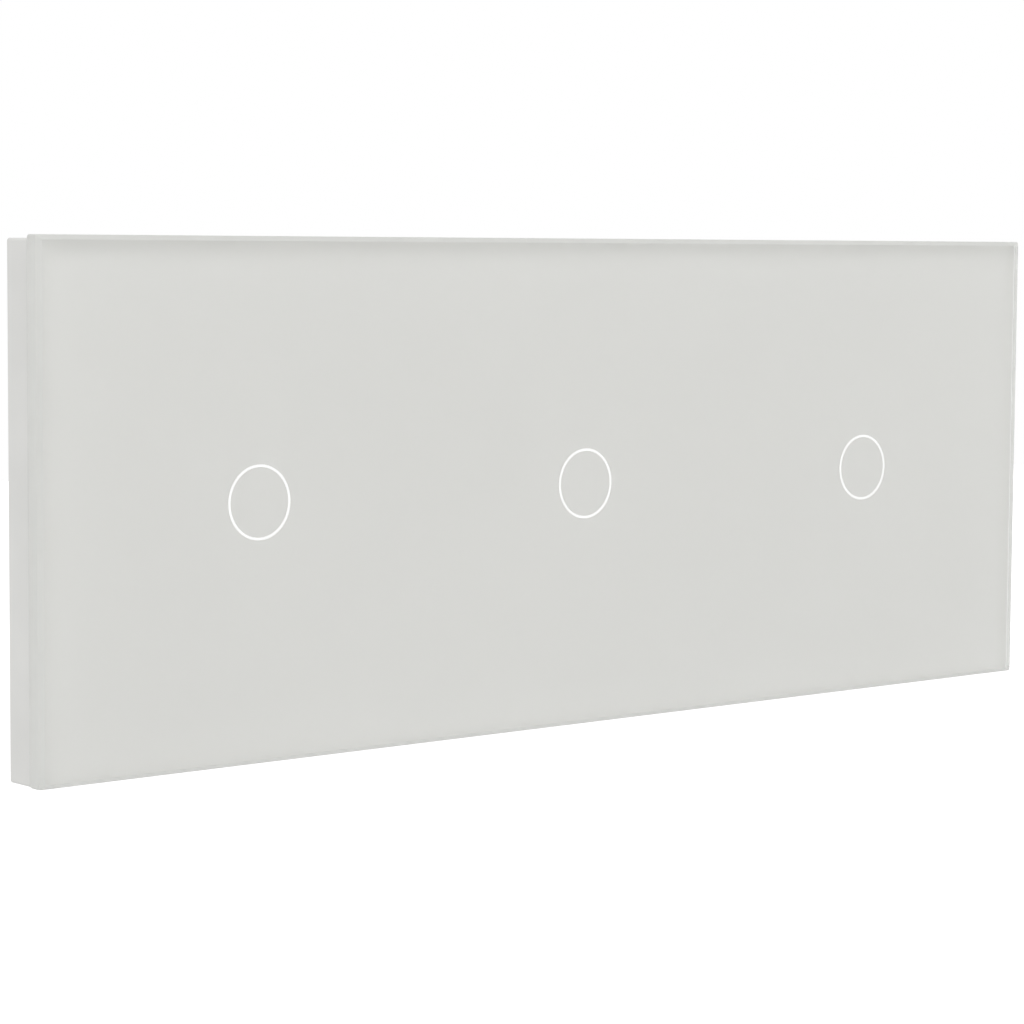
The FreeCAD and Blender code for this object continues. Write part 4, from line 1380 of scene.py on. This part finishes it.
@dataclass
class ModulePart(Assembly):
    """Pieces of one module, which are named after its side."""

    side: Side

    def named(self, piece: str) -> str:
        """The name of one of this module's nodes or pieces."""
        return f"{self.side.word}_{piece}"

    def box(self, piece: str) -> Box:
        """The box of one of this module's nodes."""
        return Box.of(self.named(piece))


@dataclass
class SensorCover(ModulePart):
    """The white cover behind the front panel, with the light ring and the electrode in its hole."""

    edge_round: float = 0.25 * MM
    hole_gap: float = 0.3 * MM
    rim_profile: tuple[Point, ...] = ((0.0, -0.1), (0.0, 0.2), (0.15, 0.25), (0.6, 0.25), (0.8, -0.1))
    rim_steps: int = 72
    line_inset: float = 6.0 * MM
    line_profile: tuple[Point, ...] = ((0.0, -0.1), (0.1, 0.12), (0.3, 0.12), (0.4, -0.1))
    line_corner: float = 2.5 * MM
    guide_wall: float = 1.8 * MM
    guide_ease: float = 0.2 * MM
    guide_foot: float = 0.5 * MM
    guide_steps: int = 96
    prisms: int = 72
    prism_depth: float = 1.2 * MM
    prism_width: float = 0.42 * MM
    prism_rise: float = 0.12 * MM
    prism_sunk: float = 0.03 * MM
    electrode_round: float = 0.1 * MM

    def build(self) -> None:
        """Makes the cover's pieces."""
        self.mould(self.named("sensor_cover"), self.edge_round, COVER_WHITE)
        self.raised_lines()
        self.light_ring()
        self.mould(self.named("touch_electrode"), self.electrode_round, SPRING_TIN)

    def raised_lines(self) -> None:
        """A rim round the hole and a square line near the cover's edge, both moulded on its front."""
        box = self.box("sensor_cover")
        place, side = (box.across, box.low.y, 0.0), box.width - 2 * self.line_inset
        hole = self.box("light_guide").width / 2 + self.hole_gap
        shapes = (
            rim(hole, self.rim_profile, -1, self.rim_steps, place),
            terraced((side, side), self.line_corner, self.line_profile, -1, place, endless=True))
        self.enter(merged(self.named("cover_lines"), shapes), COVER_WHITE)

    def light_ring(self) -> None:
        """The clear ring with its stepped top, and fine prisms that spread the light."""
        box, across = self.box("light_guide"), self.box("sensor_cover").across
        top, foot, ease = box.low.y, box.high.y, self.guide_ease
        outer = box.width / 2
        inner = outer - self.guide_wall
        ring = turned((
            (inner, foot), (inner, top + ease), (inner + ease, top), (outer - ease, top), (outer, top + ease),
            (outer, foot - self.guide_foot), (outer - ease, foot)), self.guide_steps, (across, 0.0, 0.0))
        self.enter(object_from(self.named("light_ring"), ring), GUIDE_CLEAR, self.named("light_guide"))
        sizes = {
            "Radius": (inner + outer) / 2, "Count": float(self.prisms), "Depth": self.prism_depth,
            "Width": self.prism_width, "Rise": self.prism_rise}
        middle = (across, top - self.prism_sunk, 0.0)
        self.grow(self.named("light_prisms"), prism_recipe(), [middle], sizes, GUIDE_CLEAR)


@dataclass
class MountingPlate(ModulePart):
    """The zinc-plated plate with stamped beads beside its window."""

    edge_round: float = 0.12 * MM
    bead_width: float = 2.2 * MM
    bead_rise: float = 0.45 * MM
    bead_sunk: float = 0.12 * MM
    level_bead: float = 8.0 * MM
    upright_bead: float = 11.2 * MM
    bead_place: float = 31.0 * MM
    level_across: float = 20.0 * MM
    upright_up: float = 18.0 * MM
    thickness: float = 1.2 * MM

    def build(self) -> None:
        """Makes the plate and its beads."""
        self.mould(self.named("mounting_plate"), self.edge_round, ZINC_SHEET)
        middle, face = self.box("mounting_plate").across, -self.thickness + self.bead_sunk
        rows = (("level", self.level_across, self.bead_place, self.level_bead, 0.0),
                ("upright", self.bead_place, self.upright_up, self.upright_bead, math.pi / 2))
        for name, across, up, length, turn in rows:
            points = [(middle + side * across, face, end * up) for side in (-1, 1) for end in (-1, 1)]
            sizes = {"Length": length, "Width": self.bead_width, "Rise": self.bead_rise, "Turn": turn}
            self.grow(self.named(f"{name}_beads"), bead_recipe(), points, sizes, ZINC_SHEET)


@dataclass
class BaseHousing(ModulePart):
    """The moulded housing that sits in the wall box. Its tables of points are in millimetres."""

    edge_round: float = 0.3 * MM
    half_side: float = 24.0 * MM
    corner_cut: float = 9.0 * MM
    draft: float = math.radians(1.0)
    rib_start: float = 6.5 * MM
    rib_length: float = 8.0 * MM
    rib_width: float = 0.9 * MM
    rib_rise: float = 0.35 * MM
    rib_spacing: float = 2.3 * MM
    rib_margin: float = 2.0 * MM
    terminal_pitch: float = 8.0 * MM
    terminal_up: float = -15.0 * MM
    entry_radius: float = 1.95 * MM
    entry_profile: tuple[Point, ...] = ((0.0, -0.1), (0.25, 0.35), (0.55, 0.45), (0.95, 0.4), (1.15, -0.1))
    entry_steps: int = 48
    wall_half_width: float = 0.35 * MM
    wall_half_height: float = 3.4 * MM
    wall_sunk: float = 0.1 * MM
    wall_rise: float = 0.6 * MM
    wall_round: float = 0.12 * MM
    field_size: Point = (26 * MM, 15 * MM)
    field_profile: tuple[Point, ...] = ((0.0, -0.05), (0.15, 0.2), (0.4, 0.25))
    field_corner: float = 1.5 * MM
    field_up: float = 5.0 * MM
    pin_places: tuple[Point, ...] = ((-15, -4), (15, -4), (-15, 14.5), (15, 14.5))
    pin_radius: float = 1.2 * MM
    pin_height: float = 0.06 * MM

    def build(self) -> None:
        """Makes the housing's pieces."""
        self.mould(self.named("base_housing"), self.edge_round, HOUSING_CREAM)
        self.grip_ribs()
        self.rear_face()

    def grip_ribs(self) -> None:
        """Rows of ribs on three straight sides, which grip the wall box; the fourth side has the terminals."""
        across, deep = self.box("base_housing").across, self.rib_start + self.rib_length / 2
        out = self.half_side - deep * math.tan(self.draft)
        reach = self.half_side - self.corner_cut - self.rib_margin
        ends = ((-reach, out), (reach, out), (out, reach), (out, -reach), (-out, -reach), (-out, reach))
        points = [(across + x, deep, z) for x, z in ends]
        sizes = {
            "Width": self.rib_width, "Rise": self.rib_rise, "Length": self.rib_length, "Spacing": self.rib_spacing}
        self.grow(self.named("grip_ribs"), rib_recipe(), points, sizes, HOUSING_CREAM, edges=((0, 1), (2, 3), (4, 5)))

    def rear_face(self) -> None:
        """Rims round the wire entries, walls between them, a plain rating field and the ejector pins' marks."""
        box = self.box("base_housing")
        across, rear, shapes = box.across, box.high.y, []
        for step in (-1, 0, 1):
            place = (across + step * self.terminal_pitch, rear, self.terminal_up)
            shapes.append(rim(self.entry_radius, self.entry_profile, 1, self.entry_steps, place))
        for step in (-0.5, 0.5):
            middle, up = across + step * self.terminal_pitch, self.terminal_up
            low = (middle - self.wall_half_width, rear - self.wall_sunk, up - self.wall_half_height)
            high = (middle + self.wall_half_width, rear + self.wall_rise, up + self.wall_half_height)
            shapes.append(eased(slab(low, high), self.wall_round))
        place = (across, rear, self.field_up)
        shapes.append(terraced(self.field_size, self.field_corner, self.field_profile, 1, place))
        self.enter(merged(self.named("rear_rims"), shapes), HOUSING_CREAM)
        pins = [(across + x * MM, rear, z * MM) for x, z in self.pin_places]
        sizes = {"Radius": self.pin_radius, "Height": self.pin_height}
        self.grow(self.named("housing_pin_marks"), disc_recipe(), pins, sizes, HOUSING_CREAM)


@dataclass
class Electronics(ModulePart):
    """The boards and what stands on them, in one module. Its tables of points are in millimetres."""

    dropper_round: float = 0.4 * MM
    cover_round: float = 0.2 * MM
    can_foot: tuple[Point, ...] = ((0.3, 0.0), (0.0, 0.3), (0.0, 1.0), (0.35, 1.4), (0.0, 1.9))
    can_top: tuple[Point, ...] = ((0.0, 0.5), (0.4, 0.05), (0.9, 0.0), (1.0, 0.15))
    can_steps: int = 48
    leg_pitch: float = 1.0 * MM
    leg_rows: tuple[int, ...] = (-2, -1, 0, 1, 2)
    leg_out: float = 0.35 * MM
    leg_deep: float = 0.1 * MM
    leg_size: Place = (0.9 * MM, 0.2 * MM, 0.4 * MM)
    bobbin_flange: float = 0.8 * MM
    bobbin_round: float = 0.12 * MM
    bobbin_hub: float = 3.36 * MM
    hub_steps: int = 32
    pole_side: float = 4.0 * MM
    pole_thickness: float = 0.5 * MM
    pole_round: float = 0.1 * MM
    wire_radius: float = 0.09 * MM
    wire_lift: float = 0.06 * MM
    chip_places: tuple[Point, ...] = (
        (-8, 3), (-8, -1), (-8, -5), (8, 4), (8, 0), (8, -4), (-4, -9), (0, -9), (4, -9), (-5, 8), (5, 8))
    chip_size: Place = (1.6 * MM, 0.5 * MM, 0.8 * MM)
    solder_places: tuple[Point, ...] = (
        (1.5, 9), (5.5, 9), (13, -3), (16, -3), (-13, -7), (-7, -7), (-13, 9), (-7, 9), (-8, -12), (0, -12), (8, -12))
    solder_radius: float = 0.9 * MM
    solder_height: float = 0.25 * MM

    def build(self) -> None:
        """Makes the electronics."""
        for piece, finish in PLAIN_ELECTRONICS.items():
            dress_node(self.named(piece), finish)
        self.mould(self.named("dropper_capacitor"), self.dropper_round, FILM_BLOCK)
        self.mould(self.named("relay_cover"), self.cover_round, RELAY_BLUE)
        self.can()
        self.chip_legs()
        self.coil()
        self.board_parts()

    def can(self) -> None:
        """The round capacitor: a sleeve with a rolled groove at its foot."""
        box = self.box("smoothing_capacitor")
        radius, near, far = box.width / 2, box.low.y, box.high.y
        foot = [(radius - inset * MM, near + along * MM) for inset, along in self.can_foot]
        top = [(radius - inset * MM, far - along * MM) for inset, along in self.can_top]
        profile = [(0.0, foot[0][1]), *foot, *top, (0.0, top[-1][1])]
        shape = turned(profile, self.can_steps, (box.across, 0.0, box.up))
        self.enter(object_from(self.named("capacitor_can"), shape), CAN_SLEEVE, self.named("smoothing_capacitor"))

    def blocks(self, name: str, places: Iterable[Place], size: Place, finish: Finish) -> None:
        """Equal small blocks at these places."""
        sizes = {f"Size {axis}": length for axis, length in zip("XYZ", size)}
        self.grow(self.named(name), block_recipe(), places, sizes, finish)

    def chip_legs(self) -> None:
        """The sensing chip's legs along both sides."""
        box = self.box("touch_chip")
        legs = [(across, box.low.y + self.leg_deep, box.up + row * self.leg_pitch)
                for across in (box.low.x - self.leg_out, box.high.x + self.leg_out) for row in self.leg_rows]
        self.blocks("chip_legs", legs, self.leg_size, SPRING_TIN)

    def coil(self) -> None:
        """The relay's coil: a bobbin with square flanges, the wire between them, and the core's pole face."""
        box, flange = self.box("relay_coil"), self.bobbin_flange
        low, high, across, deep = box.low, box.high, box.across, box.deep
        foot, top = low.z, high.z - self.pole_thickness
        shapes = []
        for start in (foot, top - flange):
            plate = slab((low.x, low.y, start), (high.x, high.y, start + flange))
            shapes.append(eased(plate, self.bobbin_round))
        hub_foot, hub_top = foot + flange / 2, top - flange / 2
        hub = ((0.0, hub_foot), (self.bobbin_hub, hub_foot), (self.bobbin_hub, hub_top), (0.0, hub_top))
        shapes.append(turned(hub, self.hub_steps, (across, deep, 0.0), Axis.UP))
        self.enter(merged(self.named("coil_bobbin"), shapes), BOBBIN_CREAM)
        half = self.pole_side / 2
        pole = slab((across - half, deep - half, top), (across + half, deep + half, high.z))
        self.enter(object_from(self.named("core_pole"), eased(pole, self.pole_round)), CORE_IRON)
        room = top - foot - 2 * flange - 2 * self.wire_radius
        sizes = {"Radius": self.bobbin_hub + self.wire_lift, "Length": room, "Wire Radius": self.wire_radius}
        place = (across, deep, foot + flange + self.wire_radius)
        self.grow(self.named("coil_wire"), winding_recipe(), [place], sizes, WINDING_COPPER, self.named("relay_coil"))

    def board_parts(self) -> None:
        """Small surface-mounted parts on the touch board, and solder joints on the power board."""
        box = self.box("touch_board")
        deep = box.high.y + self.chip_size[1] / 2
        spots = [(box.across + x * MM, deep, z * MM) for x, z in self.chip_places]
        self.blocks("board_chips", spots, self.chip_size, BLACK_PLASTIC)
        front = self.box("power_board").low.y
        solder = [(box.across + x * MM, front, z * MM) for x, z in self.solder_places]
        sizes = {"Radius": self.solder_radius, "Height": self.solder_height}
        self.grow(self.named("solder_joints"), disc_recipe(), solder, sizes, SPRING_TIN)


@dataclass
class Fasteners(Assembly):
    """Screws, clamps and lamps that all modules share."""

    pitch: float = 71.0 * MM
    boss_place: float = 17.5 * MM
    plate_front: float = -1.25 * MM
    terminal_pitch: float = 8.0 * MM
    terminal_deep: float = 19.7 * MM
    clamp_round: float = 0.15 * MM
    clamp_head: float = 1.0 * MM

    def build(self) -> None:
        """Makes the fasteners."""
        dress_node("indicator_leds", LAMP_WHITE)
        self.mould("terminal_clamps", self.clamp_round, CLAMP_BRASS)
        self.plate_screws()
        self.clamp_screws()

    def plate_screws(self) -> None:
        """Two cross-slotted screws in each module, which hold the plate to the housing."""
        heads = [(side.value * self.pitch + corner * self.boss_place, self.plate_front, corner * self.boss_place)
                 for side in Side for corner in (-1, 1)]
        sizes = {
            "Head Radius": 2.3 * MM, "Head Height": 1.0 * MM, "Shank Radius": 1.1 * MM, "Shank Length": 8.9 * MM,
            "Slot Width": 0.6 * MM, "Slot Depth": 0.55 * MM, "Cross": 1.0, "Thread Pitch": 0.8 * MM,
            "Tilt": math.pi / 2}
        self.grow("plate_screws", screw_recipe(), heads, sizes, SCREW_STEEL, "housing_screws")

    def clamp_screws(self) -> None:
        """A slotted screw in each terminal clamp, its head down."""
        box = Box.of("terminal_screws")
        feet = [(side.value * self.pitch + step * self.terminal_pitch, self.terminal_deep, box.low.z + self.clamp_head)
                for side in Side for step in (-1, 0, 1)]
        sizes = {
            "Head Radius": 1.25 * MM, "Head Height": self.clamp_head, "Shank Radius": 1.25 * MM,
            "Shank Length": box.height - self.clamp_head, "Slot Width": 0.45 * MM, "Slot Depth": 0.7 * MM,
            "Cross": 0.0, "Thread Pitch": 0.5 * MM, "Tilt": math.pi}
        self.grow("clamp_screws", screw_recipe(), feet, sizes, SCREW_STEEL, "terminal_screws")


# The studio


@dataclass(frozen=True)
class Lamp:
    """A square lamp that looks at the object; its power is in watts."""

    name: str
    place: Place
    side: float
    power: float

    def hang(self) -> None:
        """Puts the lamp into the scene."""
        data = bpy.data.lights.new(self.name, "AREA")
        data.energy = self.power
        data.size = self.side
        holder = bpy.data.objects.new(self.name, data)
        holder.location = self.place
        holder.rotation_euler = (-Vector(self.place)).to_track_quat("-Z", "Y").to_euler()
        holder.visible_glossy = False
        bpy.context.scene.collection.objects.link(holder)


@dataclass
class Studio:
    """The floor, backdrop, lamps and camera."""

    floor_height: float = -0.26
    floor_reach: float = 3.0
    floor_colour: Colour = (0.8, 0.8, 0.8)
    floor_glow: float = 0.45
    camera_place: Place = (-0.373807, -0.426584, 0.042510)
    camera_right: Place = (0.761636, -0.647969, 0.006826)
    camera_down: Place = (-0.049701, -0.068915, -0.996384)
    lens: float = 111.5586
    sensor: float = 36.0
    nearest: float = 0.01
    farthest: float = 50.0
    sky: float = 0.97
    lamps: tuple[Lamp, ...] = (
        Lamp("key_lamp", (-0.7, -0.9, 0.9), 0.8, 3.0), Lamp("fill_lamp", (0.9, -0.8, 0.3), 0.8, 1.0))

    def camera(self) -> None:
        """The camera where the photograph was taken from."""
        data = bpy.data.cameras.new("camera")
        data.lens = self.lens
        data.sensor_width = self.sensor
        data.clip_start = self.nearest
        data.clip_end = self.farthest
        holder = bpy.data.objects.new("camera", data)
        right, up = Vector(self.camera_right), -Vector(self.camera_down)
        turn = Matrix((right, up, right.cross(up))).transposed().to_4x4()
        holder.matrix_world = Matrix.Translation(self.camera_place) @ turn
        bpy.context.scene.collection.objects.link(holder)
        bpy.context.scene.camera = holder

    def floor_paint(self) -> bpy.types.Material:
        """The floor's paint: pale in its own light, white to the eye away from shadows, and clear from below.

        Returns:
            The material.
        """
        made = bpy.data.materials.new("floor_pale")
        tree = ShaderTree.emptied(made)
        paint = tree.put("ShaderNodeBsdfDiffuse", {"Color": rgba(self.floor_colour)}).outputs[0]
        glow, white = (tree.put("ShaderNodeEmission", {"Color": rgba(WHITE), "Strength": strength}).outputs[0]
                       for strength in (self.floor_glow, 1.0))
        glowing = tree.put("ShaderNodeAddShader", {0: paint, 1: glow}).outputs[0]
        path = tree.put("ShaderNodeLightPath").outputs
        mirrored = tree.maths("MAXIMUM", path["Is Glossy Ray"], path["Is Transmission Ray"])
        top = tree.mixed(mirrored, tree.mixed(path["Is Camera Ray"], paint, glowing), white)
        below = tree.put("ShaderNodeNewGeometry").outputs["Backfacing"]
        clear = tree.put("ShaderNodeBsdfTransparent").outputs[0]
        tree.put("ShaderNodeOutputMaterial", {"Surface": tree.mixed(below, top, clear)})
        return made

    def floor(self) -> None:
        """A plain floor under the object."""
        shape = bmesh.new()
        reach = self.floor_reach
        corners = ((-reach, -reach), (reach, -reach), (reach, reach), (-reach, reach))
        shape.faces.new([shape.verts.new((x, y, self.floor_height)) for x, y in corners])
        ground = object_from("floor", shape)
        ground.data.materials.append(self.floor_paint())
        bpy.context.scene.collection.objects.link(ground)

    def world(self) -> None:
        """An even sky, white where it is seen."""
        made = bpy.data.worlds.new("sky")
        bpy.context.scene.world = made
        tree = ShaderTree.emptied(made)
        path = tree.put("ShaderNodeLightPath").outputs
        seen = tree.maths("MAXIMUM", path["Is Camera Ray"], path["Is Glossy Ray"])
        seen = tree.maths("MAXIMUM", seen, path["Is Transmission Ray"])
        strength = tree.spread(seen, 0.0, 1.0, self.sky, 1.0)
        sky = tree.put("ShaderNodeBackground", {"Color": rgba(WHITE), "Strength": strength}).outputs[0]
        tree.put("ShaderNodeOutputWorld", {"Surface": sky})

    def build(self) -> None:
        """Makes the studio."""
        self.camera()
        self.floor()
        self.world()
        for lamp in self.lamps:
            lamp.hang()
        bpy.context.scene.view_settings.view_transform = "Standard"


def main() -> None:
    """Builds the switch and its studio."""
    Studio().build()
    FrontPanel().build()
    for side in Side:
        for part in (SensorCover, MountingPlate, BaseHousing, Electronics):
            part(side).build()
    Fasteners().build()


if __name__ == "__main__":
    main()
